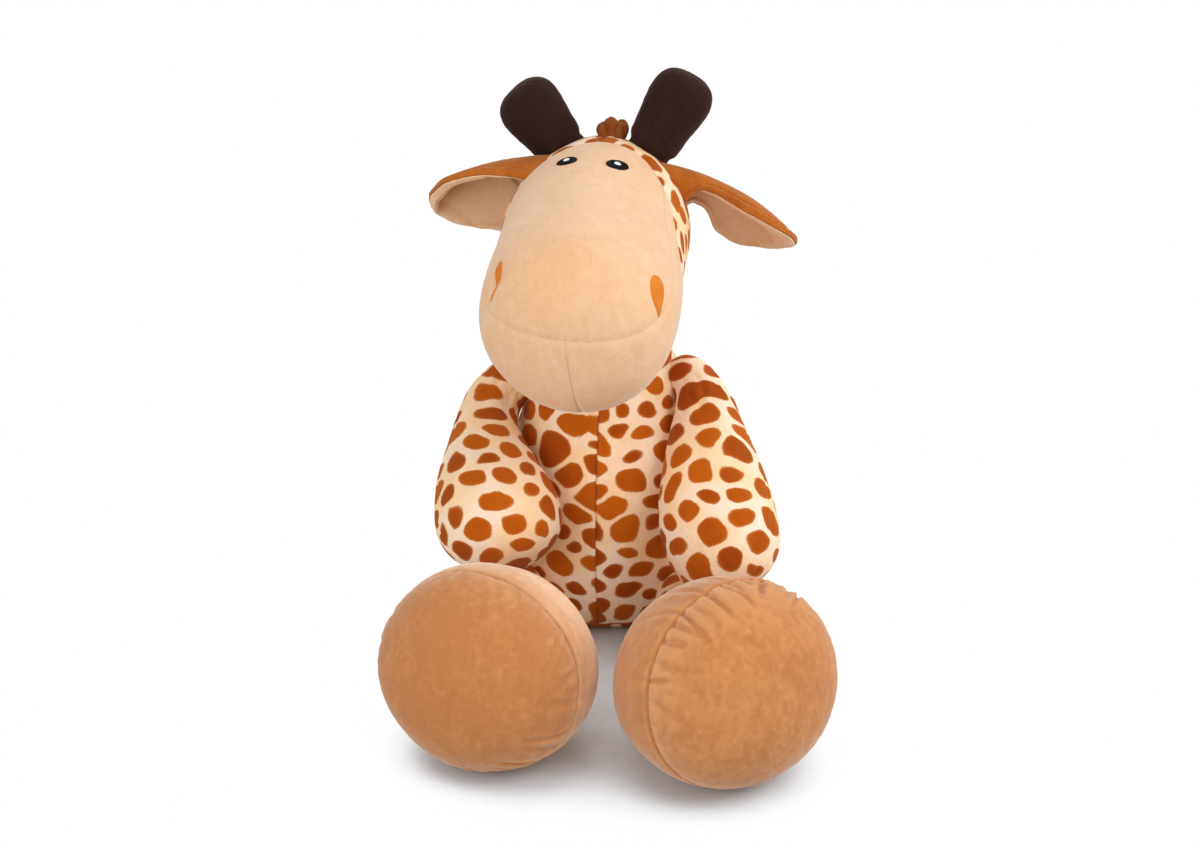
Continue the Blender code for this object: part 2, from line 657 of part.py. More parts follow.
def build_horns(giraffe, head, axis):
    clear = giraffe.clearance(head)
    forms = {}
    for side in SIDES:
        form = horn_form(giraffe, head, side)
        cut(giraffe.cover(side + "_horn_cover", form, "dark_plush", axis), clear)
        cut(giraffe.core(side + "_horn_stuffing", form, parent=axis), clear)
        forms[side] = form
    return forms


def ear_share(side, along):
    """The leaf's width share at a share of its length."""
    shares = EAR_PROFILE_SHARES[side]
    for (low, wide), (high, narrow) in zip(shares, shares[1:]):
        if along <= high:
            return wide + (narrow - wide) * (along - low) / (high - low)
    return shares[-1][1]


def ear_root(giraffe, head, side):
    inside = crown_matrix() @ Vector((0, EAR_BACK, EAR_HEIGHT))
    return giraffe.on_surface(head, inside, (SIDES[side], 0, 0))


def ear_mesh(side):
    """A leaf that is curled round its own length, turned about it, and bent down along an arc."""
    sign = SIDES[side]
    length, twist = EAR_LENGTHS[side], math.radians(EAR_POSE_DEG[side][1])
    bend = math.radians(EAR_BEND_DEG[side])
    bm = bmesh.new()
    bmesh.ops.create_grid(bm, x_segments=EAR_SEGMENTS[0], y_segments=EAR_SEGMENTS[1], size=1.0)
    root_curl, tip_curl = (math.radians(angle) for angle in EAR_CURL_DEG[side])
    for vert in bm.verts:
        along, across = (vert.co.x + 1) / 2, vert.co.y
        curl = root_curl + (tip_curl - root_curl) * along
        radius = EAR_WIDTH / 2 * ear_share(side, along) / curl
        turn = across * curl
        back, rise = radius * math.sin(turn), radius * (1 - math.cos(turn))
        back, rise = (
            back * math.cos(twist) - rise * math.sin(twist),
            back * math.sin(twist) + rise * math.cos(twist),
        )
        out = length * along - EAR_ROOT * (1 - along)
        arc, bent = length / bend, bend * out / length
        reach, drop = arc * math.sin(bent), arc * (1 - math.cos(bent))
        vert.co = Vector((sign * (reach + rise * math.sin(bent)), back, rise * math.cos(bent) - drop))
    return mesh_from(bm, side + "_ear_leaf")


def build_ears(giraffe, head, horns):
    for side, sign in SIDES.items():
        root = ear_root(giraffe, head, side)
        droop, twist, sweep_back = (math.radians(angle) for angle in EAR_POSE_DEG[side])
        turn = Matrix.Rotation(droop * sign, 4, "Y") @ Matrix.Rotation(sweep_back * sign, 4, "Z")
        axis = giraffe.axis(side + "_ear_axis", root)
        clear = [
            giraffe.clearance(near, turn=turn_about(root, (0, sign, 0), angle))
            for near in (head, horns[side])
            for angle in sweep(EAR_FLAP_DEG)
        ]
        form = Form(side + "_ear", ear_mesh(side), Matrix.Translation(root) @ turn)
        middle = form.mesh.polygons[len(form.mesh.polygons) // 2]
        inside_curl = Vector((0, -math.sin(twist), math.cos(twist)))
        outward = -1.0 if middle.normal.dot(inside_curl) > 0 else 1.0
        for name, slot, facing, start in (
            ("_ear_outer", "rust_plush", outward, 0.0),
            ("_ear_lining", "cream_plush", -outward, -outward * SEAM_GAP),
        ):
            obj = giraffe.own_mesh(form.object(side + name, giraffe.parts, offset=start))
            sheet = obj.modifiers.new("Fabric", "SOLIDIFY")
            sheet.thickness = EAR_FABRIC
            sheet.offset = facing
            for cutter in clear:
                cut(obj, cutter)
            giraffe.finish(obj, slot, axis)


def build_hair(giraffe, head, axis):
    inside = crown_matrix() @ Vector((0, TUFT_BACK, 0))
    base = crown_matrix().inverted() @ giraffe.on_surface(head, inside, (0, 0, 1))
    start = base - Vector((0, 0, TUFT_ROOT))
    rise = TUFT_HEIGHT + TUFT_ROOT
    spine = [start, *[start + Vector((0, 0, rise * share)) for share, _ in TUFT_SHARES]]
    spine.append(start + Vector((0, 0, rise)))
    halves = [(TUFT_WIDTH / 2 * share, TUFT_DEPTH / 2 * share) for _, share in TUFT_SHARES]
    mesh = loft_cage("hair_tuft_cage", spine, halves, TUFT_SIDES, Vector((1, 0, 0)))
    form = Form("hair_tuft", mesh, crown_matrix())
    tuft = giraffe.finish(giraffe.own_mesh(form.object("hair_tuft", giraffe.parts)), "rust_plush", axis)
    cut(tuft, giraffe.clearance(head))
    across = crown_matrix().to_3x3() @ Vector((MANE_WIDTH / 2, 0, 0))
    middle = head.matrix.translation
    keepers = [
        giraffe.block("mane_left_side", middle - across, across),
        giraffe.block("mane_right_side", middle + across, -across),
        giraffe.block("mane_start", middle + Vector((0, MANE_START, 0)), (0, 1, 0)),
        giraffe.block("mane_end", middle - Vector((0, 0, MANE_END_DROP)), (0, 0, 1)),
    ]
    giraffe.patch("mane", head, SEAM_GAP, MANE_HEIGHT, keepers, "rust_plush", axis)


def build_arms(giraffe, torso, legs):
    for side, sign in SIDES.items():
        root = shoulder(giraffe, torso, side)
        form = arm_form(side, root)
        seam_top = Vector((0, 0, root.z + ARM_WIDTH / 2 * ARM_SHARES[side][1][3]))
        pivot = giraffe.on_surface(torso, seam_top, (sign, 0, 0))
        axis = giraffe.axis(side + "_shoulder_axis", pivot)
        clear = [
            giraffe.clearance(torso, turn=turn_about(pivot, (0, sign, 0), angle))
            for angle in sweep(ARM_RAISE_DEG)
        ]
        clear.append(giraffe.clearance(legs[side]))
        for obj in (
            giraffe.cover(side + "_arm_cover", form, "spotted_plush", axis),
            giraffe.core(side + "_arm_stuffing", form, parent=axis),
        ):
            for cutter in clear:
                cut(obj, cutter)


def build_legs(giraffe, torso, legs, feet, floor):
    for side, sign in SIDES.items():
        leg, foot = legs[side], feet[side]
        hip_axis = giraffe.axis(side + "_hip_axis", hip(side))
        across = leg_direction(side).cross(Vector((0, 0, 1)))
        clear = [
            giraffe.clearance(torso, turn=turn_about(hip(side), across, angle))
            for angle in sweep(HIP_SWING_DEG, HIP_SWEEP_STEPS)
        ]
        clear.append(giraffe.clearance(foot))
        for obj in (
            giraffe.cover(side + "_leg_cover", leg, "spotted_plush", hip_axis),
            giraffe.core(side + "_leg_stuffing", leg, parent=hip_axis),
        ):
            for cutter in clear:
                cut(obj, cutter)
        width, height, depth = FOOT_WIDTHS[side], FOOT_HEIGHTS[side], FOOT_DEPTHS[side]
        seam = depth / 2 - depth * SOLE_SEAM_SHARE
        half = SEAM_GAP / 2
        for name, near, far in (
            ("_sole_panel", -depth, seam - half),
            ("_foot_cover", seam + half, depth),
        ):
            panel = giraffe.cover(side + name, foot, "tan_plush", hip_axis)
            corners = (-width, near, -height), (width, far, height)
            keep(panel, giraffe.cell(side + name + "_cell", *corners, foot.matrix))
            cut(panel, floor)
        giraffe.core(side + "_foot_stuffing", foot, parent=hip_axis)


def rope_spine(start, end):
    return [start.lerp(end, share) for share in ROPE_SHARES]


def build_tail(giraffe, torso, floor):
    root = giraffe.on_surface(torso, (0, 0, TAIL_ROOT_HEIGHT), (0, 1, 0))
    end = Vector((0, root.y + TAIL_LENGTH, TAIL_WIDTH / 2 - SEAT_CUT))
    axis = giraffe.axis("tail_axis", root + Vector((0, 0, TAIL_WIDTH / 2)))
    clear = [
        giraffe.clearance(torso, turn=turn_about(axis.location, (-1, 0, 0), angle))
        for angle in sweep(TAIL_SWING_DEG)
    ]
    spine = rope_spine(root - Vector((0, TAIL_WIDTH, 0)), end)
    halves = [(TAIL_WIDTH / 2,) * 2] * (len(spine) - 2)
    mesh = loft_cage("tail_cage", spine, halves, TAIL_SIDES, Vector((1, 0, 0)))
    form = Form("tail", mesh, Matrix.Identity(4))
    cord = giraffe.finish(giraffe.own_mesh(form.object("tail_cord", giraffe.parts)), "spotted_plush", axis)
    for cutter in (*clear, floor):
        cut(cord, cutter)
    tuft_start = end - Vector((0, TAIL_TUFT_LENGTH / 4, 0))
    tuft_start.z = TAIL_TUFT_WIDTH / 2 - SEAT_CUT
    tuft_end = tuft_start + Vector((0, TAIL_TUFT_LENGTH, 0))
    spine = rope_spine(tuft_start, tuft_end)
    halves = [(TAIL_TUFT_WIDTH / 2 * share,) * 2 for share in TAIL_TUFT_SHARES]
    mesh = loft_cage("tail_tuft_cage", spine, halves, TAIL_SIDES, Vector((1, 0, 0)))
    tuft = Form("tail_tuft", mesh, Matrix.Identity(4))
    obj = giraffe.finish(giraffe.own_mesh(tuft.object("tail_tuft", giraffe.parts)), "rust_plush", axis)
    cut(obj, giraffe.clearance(form))
    cut(obj, floor)


def main():
    clear_scene()
    giraffe = Giraffe()
    torso = torso_form()
    head = head_form()
    legs = {side: leg_form(side) for side in SIDES}
    feet = {side: giraffe.rest_on_floor(foot_form(side), FOOT_SINK) for side in SIDES}
    nod = head.matrix.translation
    turn_axis = giraffe.axis("neck_turn_axis", (0, 0, TORSO_HEIGHT))
    nod_axis = giraffe.axis("head_nod_axis", nod)
    floor = giraffe.block("floor", (0, 0, 0), (0, 0, -1))
    build_torso(giraffe, torso)
    build_neck(giraffe, head, nod, turn_axis)
    build_head(giraffe, head, nod_axis)
    build_face(giraffe, head, nod_axis)
    horns = build_horns(giraffe, head, nod_axis)
    build_ears(giraffe, head, horns)
    build_hair(giraffe, head, nod_axis)
    build_arms(giraffe, torso, legs)
    build_legs(giraffe, torso, legs, feet, floor)
    build_tail(giraffe, torso, floor)
    bpy.context.view_layer.update()


main()
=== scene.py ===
# Plush giraffe: sewn plush skins, face, ears, hair and tail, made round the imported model.
# Metres, +Z up; the toy faces -Y and its own left side is +X.
import json
import math

import bmesh
import bpy
import numpy as np
from mathutils import Matrix, Vector
from mathutils.bvhtree import BVHTree
from mathutils.kdtree import KDTree

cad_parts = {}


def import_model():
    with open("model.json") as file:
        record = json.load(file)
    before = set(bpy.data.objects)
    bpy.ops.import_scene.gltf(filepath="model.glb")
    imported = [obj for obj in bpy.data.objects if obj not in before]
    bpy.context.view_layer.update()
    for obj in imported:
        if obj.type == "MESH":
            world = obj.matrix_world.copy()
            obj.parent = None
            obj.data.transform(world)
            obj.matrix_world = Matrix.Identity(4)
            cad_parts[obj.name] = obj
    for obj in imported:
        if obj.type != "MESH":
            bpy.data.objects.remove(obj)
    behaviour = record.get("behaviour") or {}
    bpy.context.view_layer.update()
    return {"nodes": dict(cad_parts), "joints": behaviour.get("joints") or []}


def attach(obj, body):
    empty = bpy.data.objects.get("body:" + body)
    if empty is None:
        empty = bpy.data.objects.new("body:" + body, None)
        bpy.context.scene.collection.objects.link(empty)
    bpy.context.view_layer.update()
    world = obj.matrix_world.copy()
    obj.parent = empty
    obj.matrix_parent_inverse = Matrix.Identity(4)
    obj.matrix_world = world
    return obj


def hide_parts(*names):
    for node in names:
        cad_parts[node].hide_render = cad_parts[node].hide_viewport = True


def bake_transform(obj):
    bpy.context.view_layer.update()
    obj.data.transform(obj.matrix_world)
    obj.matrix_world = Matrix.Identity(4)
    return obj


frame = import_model()
print("frame loaded:", len(frame["nodes"]), "nodes")

sides = {"left": 1.0, "right": -1.0}
jointPlace = {joint["name"]: Vector(joint["pos_m"]) for joint in frame["joints"]}


# Camera, lamps and floor

stage = {
    "azimuth": 8.5,  # degrees round from straight in front
    "pitch": 20.0,
    "distance": 1.9,
    "target": (-0.0085, -0.0013, 0.171),
    "lens": 66.27,
    "sensor": 36.0,
    "world": 0.60,
    "floor": (0.66, 0.73, 0.79),  # a little cool, against the plush's warm bounce
    "contact": 0.20,  # metres, how close the toy has to be for the floor to show its shade
    "contactShare": (0.30, 0.58),
    "floorSize": 30.0,
}

# name: place, aim, size, power in watts
lamps = {
    "keyLamp": ((1.4, -1.1, 1.7), (0.0, -0.1, 0.2), 1.2, 18.0),
    "fillLamp": ((-0.9, -1.9, 0.8), (0.0, -0.1, 0.2), 1.6, 16.5),
    "rimLamp": ((1.7, 0.35, 0.8), (0.0, -0.1, 0.2), 1.2, 13.0),
    "backLamp": ((-0.4, 1.9, 1.8), (0.0, 0.0, 0.25), 1.6, 10.0),
}


def aimAt(obj, place, target):
    obj.location = place
    obj.rotation_euler = (Vector(target) - Vector(place)).to_track_quat("-Z", "Y").to_euler()


def makeStage():
    azimuth, pitch = math.radians(stage["azimuth"]), math.radians(stage["pitch"])
    back = Vector((math.sin(azimuth) * math.cos(pitch), -math.cos(azimuth) * math.cos(pitch), math.sin(pitch)))
    target = Vector(stage["target"])
    lens = bpy.data.cameras.new("camera")
    lens.sensor_fit = "HORIZONTAL"
    lens.sensor_width = stage["sensor"]
    lens.lens = stage["lens"]
    camera = bpy.data.objects.new("camera", lens)
    bpy.context.scene.collection.objects.link(camera)
    aimAt(camera, target + back * stage["distance"], target)
    bpy.context.scene.camera = camera
    for name, (place, target, size, power) in lamps.items():
        lamp = bpy.data.lights.new(name, "AREA")
        lamp.shape = "DISK"
        lamp.size = size
        lamp.energy = power
        obj = bpy.data.objects.new(name, lamp)
        bpy.context.scene.collection.objects.link(obj)
        aimAt(obj, place, target)
    world = bpy.data.worlds.new("studio")
    bpy.context.scene.world = world
    world.use_nodes = True
    paint = Paint(world.node_tree)
    path = paint.node("ShaderNodeLightPath")
    seen = paint.wrap(path.outputs["Is Camera Ray"])
    background = world.node_tree.nodes["Background"]
    background.inputs["Color"].default_value = (1.0, 1.0, 1.0, 1.0)
    paint.link(seen * (1.0 - stage["world"]) + stage["world"], background.inputs["Strength"])
    bpy.ops.mesh.primitive_plane_add(size=stage["floorSize"])
    floor = bpy.context.object
    floor.name = "floor"
    finish = bpy.data.materials.new("floorFinish")
    finish.use_nodes = True
    paint = Paint(finish.node_tree)
    shader = finish.node_tree.nodes["Principled BSDF"]
    shader.inputs["Base Color"].default_value = (*stage["floor"], 1.0)
    shader.inputs["Roughness"].default_value = 0.9
    shader.inputs["Specular IOR Level"].default_value = 0.0
    # White as the backdrop, but for the shade where the toy touches the floor
    seen = paint.wrap(paint.node("ShaderNodeLightPath").outputs["Is Camera Ray"])
    white = paint.node("ShaderNodeEmission", {}, Strength=seen * (1.0 - stage["world"]) + stage["world"])
    openness = paint.node("ShaderNodeAmbientOcclusion", {"samples": 14}, Distance=stage["contact"])
    openness = paint.wrap(openness.outputs["AO"]).between(*stage["contactShare"])
    both = paint.node("ShaderNodeMixShader", {}, Fac=openness)
    paint.tree.links.new(shader.outputs[0], both.inputs[1])
    paint.tree.links.new(white.outputs[0], both.inputs[2])
    paint.tree.links.new(both.outputs[0], finish.node_tree.nodes["Material Output"].inputs["Surface"])
    floor.data.materials.append(finish)
    bpy.context.scene.view_settings.view_transform = "Standard"


# Shader maths

class Value:
    # One socket. An expression on it adds its Math nodes.
    def __init__(self, paint, socket):
        self.paint = paint
        self.socket = socket

    def math(self, operation, *values, clamp=False):
        node = self.paint.node("ShaderNodeMath", {"operation": operation, "use_clamp": clamp})
        for place, value in enumerate(values):
            self.paint.link(value, node.inputs[place])
        return Value(self.paint, node.outputs[0])

    def __add__(self, other):
        return self.math("ADD", self, other)

    def __radd__(self, other):
        return self.math("ADD", other, self)

    def __sub__(self, other):
        return self.math("SUBTRACT", self, other)

    def __rsub__(self, other):
        return self.math("SUBTRACT", other, self)

    def __mul__(self, other):
        return self.math("MULTIPLY", self, other)

    def __rmul__(self, other):
        return self.math("MULTIPLY", other, self)

    def __truediv__(self, other):
        return self.math("DIVIDE", self, other)

    def between(self, low, high):
        # 0 below low, 1 above high and smooth between them
        node = self.paint.node("ShaderNodeMapRange", {"interpolation_type": "SMOOTHSTEP"})
        self.paint.link(self, node.inputs["Value"])
        node.inputs["From Min"].default_value = low
        node.inputs["From Max"].default_value = high
        return Value(self.paint, node.outputs["Result"])


class Paint:
    # The nodes of one material or world.
    def __init__(self, tree):
        self.tree = tree

    def wrap(self, socket):
        return Value(self, socket)

    def link(self, value, socket):
        if isinstance(value, Value):
            value = value.socket
        if isinstance(value, bpy.types.NodeSocket):
            self.tree.links.new(value, socket)
        else:
            socket.default_value = value

    def node(self, kind, settings=None, **sockets):
        made = self.tree.nodes.new(kind)
        for name, value in (settings or {}).items():
            setattr(made, name, value)
        for name, value in sockets.items():
            self.link(value, made.inputs[name.replace("_", " ")])
        return made

    def mix(self, share, first, second):
        made = self.node("ShaderNodeMix", {"data_type": "RGBA"})
        self.link(share, made.inputs["Factor"])
        for value, socket in ((first, made.inputs[6]), (second, made.inputs[7])):
            self.link((*value, 1.0) if isinstance(value, tuple) else value, socket)
        return made.outputs[2]

    def vector(self, operation, first, second):
        made = self.node("ShaderNodeVectorMath", {"operation": operation})
        self.link(first, made.inputs[0])
        self.link(second, made.inputs[3] if operation == "SCALE" else made.inputs[1])
        return made.outputs[0]

    def noise(self, place, size, detail=2.0, rough=0.5):
        made = self.node(
            "ShaderNodeTexNoise", {}, Vector=place, Scale=1.0 / size, Detail=detail, Roughness=rough
        )
        return self.wrap(made.outputs["Fac"])


# Colours are linear
plush = {
    "pileSize": 0.0021,
    "brushSize": 0.0085,
    "patchSize": 0.048,
    "sheen": 0.34,
    "sheenRough": 0.40,
    "relief": 0.0010,
    "grain": 0.34,
}

spots = {
    "throws": 4500,
    "spacing": 0.0216,  # between the spots' middles
    "squat": 1.32,  # how much closer they lie along the cloth's grain
    "sizes": 0.0036,  # how much larger or smaller one spot's share of the cloth can be
    "joined": 0.05,  # share of the spots that have grown into a neighbour
    "bends": ((0.026, 0.0050), (0.009, 0.0013)),  # size and reach of the print's unevenness
    "corner": 0.0027,
    "gap": 0.0026,  # half the cream between two spots
    "edge": 0.0007,
    "fraySize": 0.0026,
    "fray": 0.0012,
    "rimWidth": 0.0026,
    "cream": (0.930, 0.635, 0.355),
    "creamPale": (0.930, 0.735, 0.560),
    "rust": (0.500, 0.108, 0.003),
    "rustDark": (0.335, 0.056, 0.002),
    "rim": (0.560, 0.170, 0.020),
}

finishes = {
    # slot: base, dark side of the brushed pile, pale side, what the blush share turns to (painted shade in the ear
    # lining, painted light on the foot covers), sheen tint
    "creamPlush": ((0.800, 0.500, 0.285), (0.740, 0.425, 0.220), (0.840, 0.580, 0.380), (0.790, 0.400, 0.140),
                   (1.0, 0.98, 0.95)),
    "tanPlush": ((0.570, 0.225, 0.070), (0.370, 0.118, 0.031), (0.670, 0.315, 0.122), (0.900, 0.600, 0.370),
                 (1.0, 0.90, 0.80)),
    "rustPlush": ((0.440, 0.112, 0.012), (0.300, 0.064, 0.005), (0.560, 0.185, 0.036), (0.700, 0.440, 0.240),
                  (1.0, 0.72, 0.48)),
    "hairPlush": ((0.250, 0.062, 0.010), (0.150, 0.032, 0.005), (0.380, 0.115, 0.024), (0.500, 0.180, 0.050),
                  (1.0, 0.66, 0.44)),
    "liningPlush": ((0.800, 0.510, 0.300), (0.700, 0.410, 0.220), (0.860, 0.610, 0.410), (0.400, 0.195, 0.085),
                    (1.0, 0.88, 0.76)),
    "darkPlush": ((0.026, 0.010, 0.008), (0.019, 0.007, 0.006), (0.036, 0.015, 0.012), (0.03, 0.012, 0.011),
                  (0.60, 0.38, 0.30)),
    "orangeFelt": ((0.680, 0.205, 0.018), (0.560, 0.140, 0.010), (0.740, 0.270, 0.034), (0.45, 0.10, 0.012),
                   (1.0, 0.76, 0.50)),
}


def plushShader(name, dark, base, pale, blushAndPaintedLight, tint, colourOf=None, sheen=None):
    # Short pile: brushed patches, streaks and a fine relief, with painted shade and painted light from shares stored
    # on the feet and ear linings
    finish = bpy.data.materials.new(name)
    finish.use_nodes = True
    paint = Paint(finish.node_tree)
    shader = finish.node_tree.nodes["Principled BSDF"]
    place = paint.node("ShaderNodeAttribute", {"attribute_name": "cloth"}).outputs["Vector"]
    streaks = paint.vector("MULTIPLY", place, (1.0, 1.0, 0.42))
    pile = paint.noise(streaks, plush["pileSize"], 3.0, 0.6)
    brush = paint.noise(streaks, plush["brushSize"], 3.0, 0.55)
    patch = paint.noise(place, plush["patchSize"], 2.0, 0.5)
    if colourOf:
        colour = colourOf(paint, place, patch, brush)
    else:
        # Pile tone from the noise, plus painted shade stored on the feet: darker in their folds and on their dim sides
        laid = paint.wrap(paint.node("ShaderNodeAttribute", {"attribute_name": "napAndPaintedShade"}).outputs["Fac"])
        napAndPaintedShade = (patch * 0.55 + brush * 0.45 + laid * 0.30).between(0.30, 0.70)
        colour = paint.mix(napAndPaintedShade, paint.mix(0.65, dark, base), paint.mix(0.65, pale, base))
        # A blush on the face; the same share carries painted shade in the ear lining's fold and painted light on the
        # foot covers
        share = paint.wrap(paint.node("ShaderNodeAttribute", {"attribute_name": "blushAndPaintedLight"}).outputs["Fac"])
        colour = paint.mix(share + (brush - 0.5) * share * 0.6, colour, blushAndPaintedLight)
    lift = (pile - 0.5) * 0.55 + (brush - 0.5) * 0.30
    paint.link(paint.vector("SCALE", colour, lift * plush["grain"] + 1.0), shader.inputs["Base Color"])
    height = pile * 0.8 + brush * 0.28
    bump = paint.node("ShaderNodeBump", {}, Strength=0.55, Distance=plush["relief"], Height=height)
    paint.link(bump.outputs[0], shader.inputs["Normal"])
    shader.inputs["Roughness"].default_value = 0.92
    shader.inputs["Specular IOR Level"].default_value = 0.12
    shader.inputs["Sheen Weight"].default_value = plush["sheen"] if sheen is None else sheen
    shader.inputs["Sheen Roughness"].default_value = plush["sheenRough"]
    shader.inputs["Sheen Tint"].default_value = (*tint, 1.0)
    return finish


def spotColour(paint, place, patch, brush):
    # Rounded rust patches on cream, a little ragged where the pile crosses the print's edge
    depth = paint.wrap(paint.node("ShaderNodeAttribute", {"attribute_name": "spotDepth"}).outputs["Fac"])
    tone = paint.wrap(paint.node("ShaderNodeAttribute", {"attribute_name": "spotTone"}).outputs["Fac"])
    fray = paint.noise(place, spots["fraySize"], 2.0) - 0.5
    depth = depth + fray * spots["fray"]
    mask = depth.between(spots["gap"] - spots["edge"], spots["gap"] + spots["edge"])
    inner = depth.between(spots["gap"], spots["gap"] + spots["rimWidth"])
    deep = (patch * 0.3 + brush * 0.3 + tone * 0.4).between(0.25, 0.75)
    rust = paint.mix(deep, spots["rust"], spots["rustDark"])
    rust = paint.mix(inner, paint.mix(0.45, rust, spots["rim"]), rust)
    cream = paint.mix(patch.between(0.35, 0.65), spots["cream"], spots["creamPale"])
    return paint.mix(mask, cream, rust)


materials = {}


def makeMaterials():
    for name, (base, dark, pale, blushAndPaintedLight, tint) in finishes.items():
        sheen = {"darkPlush": 0.16, "creamPlush": 0.44, "tanPlush": 0.50}.get(name)
        materials[name] = plushShader(name, dark, base, pale, blushAndPaintedLight, tint, sheen=sheen)
    none = (0.0, 0.0, 0.0)
    materials["spottedPlush"] = plushShader(
        "spottedPlush", none, none, none, none, (1.0, 0.76, 0.50), colourOf=spotColour, sheen=0.14
    )
    for name, colour in (("blackThread", (0.006, 0.006, 0.007)), ("whiteThread", (0.86, 0.86, 0.86))):
        finish = bpy.data.materials.new(name)
        finish.use_nodes = True
        paint = Paint(finish.node_tree)
        shader = finish.node_tree.nodes["Principled BSDF"]
        place = paint.node("ShaderNodeAttribute", {"attribute_name": "cloth"}).outputs["Vector"]
        tone = paint.noise(place, 0.0009, 2.0)
        paint.link(
            paint.mix(tone, tuple(c * 0.75 for c in colour), tuple(c * 1.12 for c in colour)),
            shader.inputs["Base Color"],
        )
        shader.inputs["Roughness"].default_value = 0.55
        shader.inputs["Specular IOR Level"].default_value = 0.12
        materials[name] = finish


# Mesh tools

def softNoise(points, size, seed=0.0):
    # Smooth noise from -1 to 1 at each point
    place = np.asarray(points, float) / size + seed * 17.31 + 400.0
    cell = np.floor(place).astype(np.int64)
    part = place - cell
    part = part * part * part * (part * (part * 6 - 15) + 10)
    total = np.zeros(len(place))
    for corner in range(8):
        step = np.array([corner & 1, corner >> 1 & 1, corner >> 2 & 1])
        key = ((cell + step) * np.array([374761393, 668265263, 1274126177])).sum(1) & 0xFFFFFFFF
        key = (key ^ (key >> 13)) * 1274126177 & 0xFFFFFFFF
        key = (key ^ (key >> 16)) & 0xFFFFFFFF
        weight = np.where(step, part, 1.0 - part).prod(1)
        total += weight * (key / 2147483648.0 - 1.0)
    return total


def link(name, mesh):
    obj = bpy.data.objects.new(name, mesh)
    bpy.context.scene.collection.objects.link(obj)
    return obj


def bakeModifiers(obj):
    graph = bpy.context.evaluated_depsgraph_get()
    mesh = bpy.data.meshes.new_from_object(obj.evaluated_get(graph))
    bpy.data.objects.remove(obj)
    return mesh


def loftForm(name, spine, halves, around, hint, levels, matrix=None):
    # A round form on a spine: one ring for each station, closed at both ends and subdivided
    last = len(spine) - 1
    bm = bmesh.new()
    bmesh.ops.create_uvsphere(bm, u_segments=around, v_segments=last, radius=1.0)
    swell = 3.0 / (2.0 + math.cos(2.0 * math.pi / around))
    for vert in bm.verts:
        row = round(math.acos(max(-1.0, min(1.0, vert.co.z))) / math.pi * last)
        if row in (0, last):
            vert.co = spine[row]
            continue
        tangent = (spine[row + 1] - spine[row - 1]).normalized()
        across = (hint - tangent * hint.dot(tangent)).normalized()
        upward = across.cross(tangent)
        halfWidth, halfHeight = halves[row - 1]
        turn = vert.co.xy.normalized()
        vert.co = spine[row] + (across * (turn.x * halfWidth) + upward * (turn.y * halfHeight)) * swell
    bmesh.ops.recalc_face_normals(bm, faces=bm.faces)
    if bm.calc_volume(signed=True) < 0:
        bmesh.ops.reverse_faces(bm, faces=bm.faces)
    mesh = bpy.data.meshes.new(name)
    bm.to_mesh(mesh)
    bm.free()
    obj = link(name, mesh)
    smooth = obj.modifiers.new("smooth", "SUBSURF")
    smooth.levels = smooth.render_levels = levels
    mesh = bakeModifiers(obj)
    mesh.transform(matrix or Matrix.Identity(4))
    return Skin(mesh)


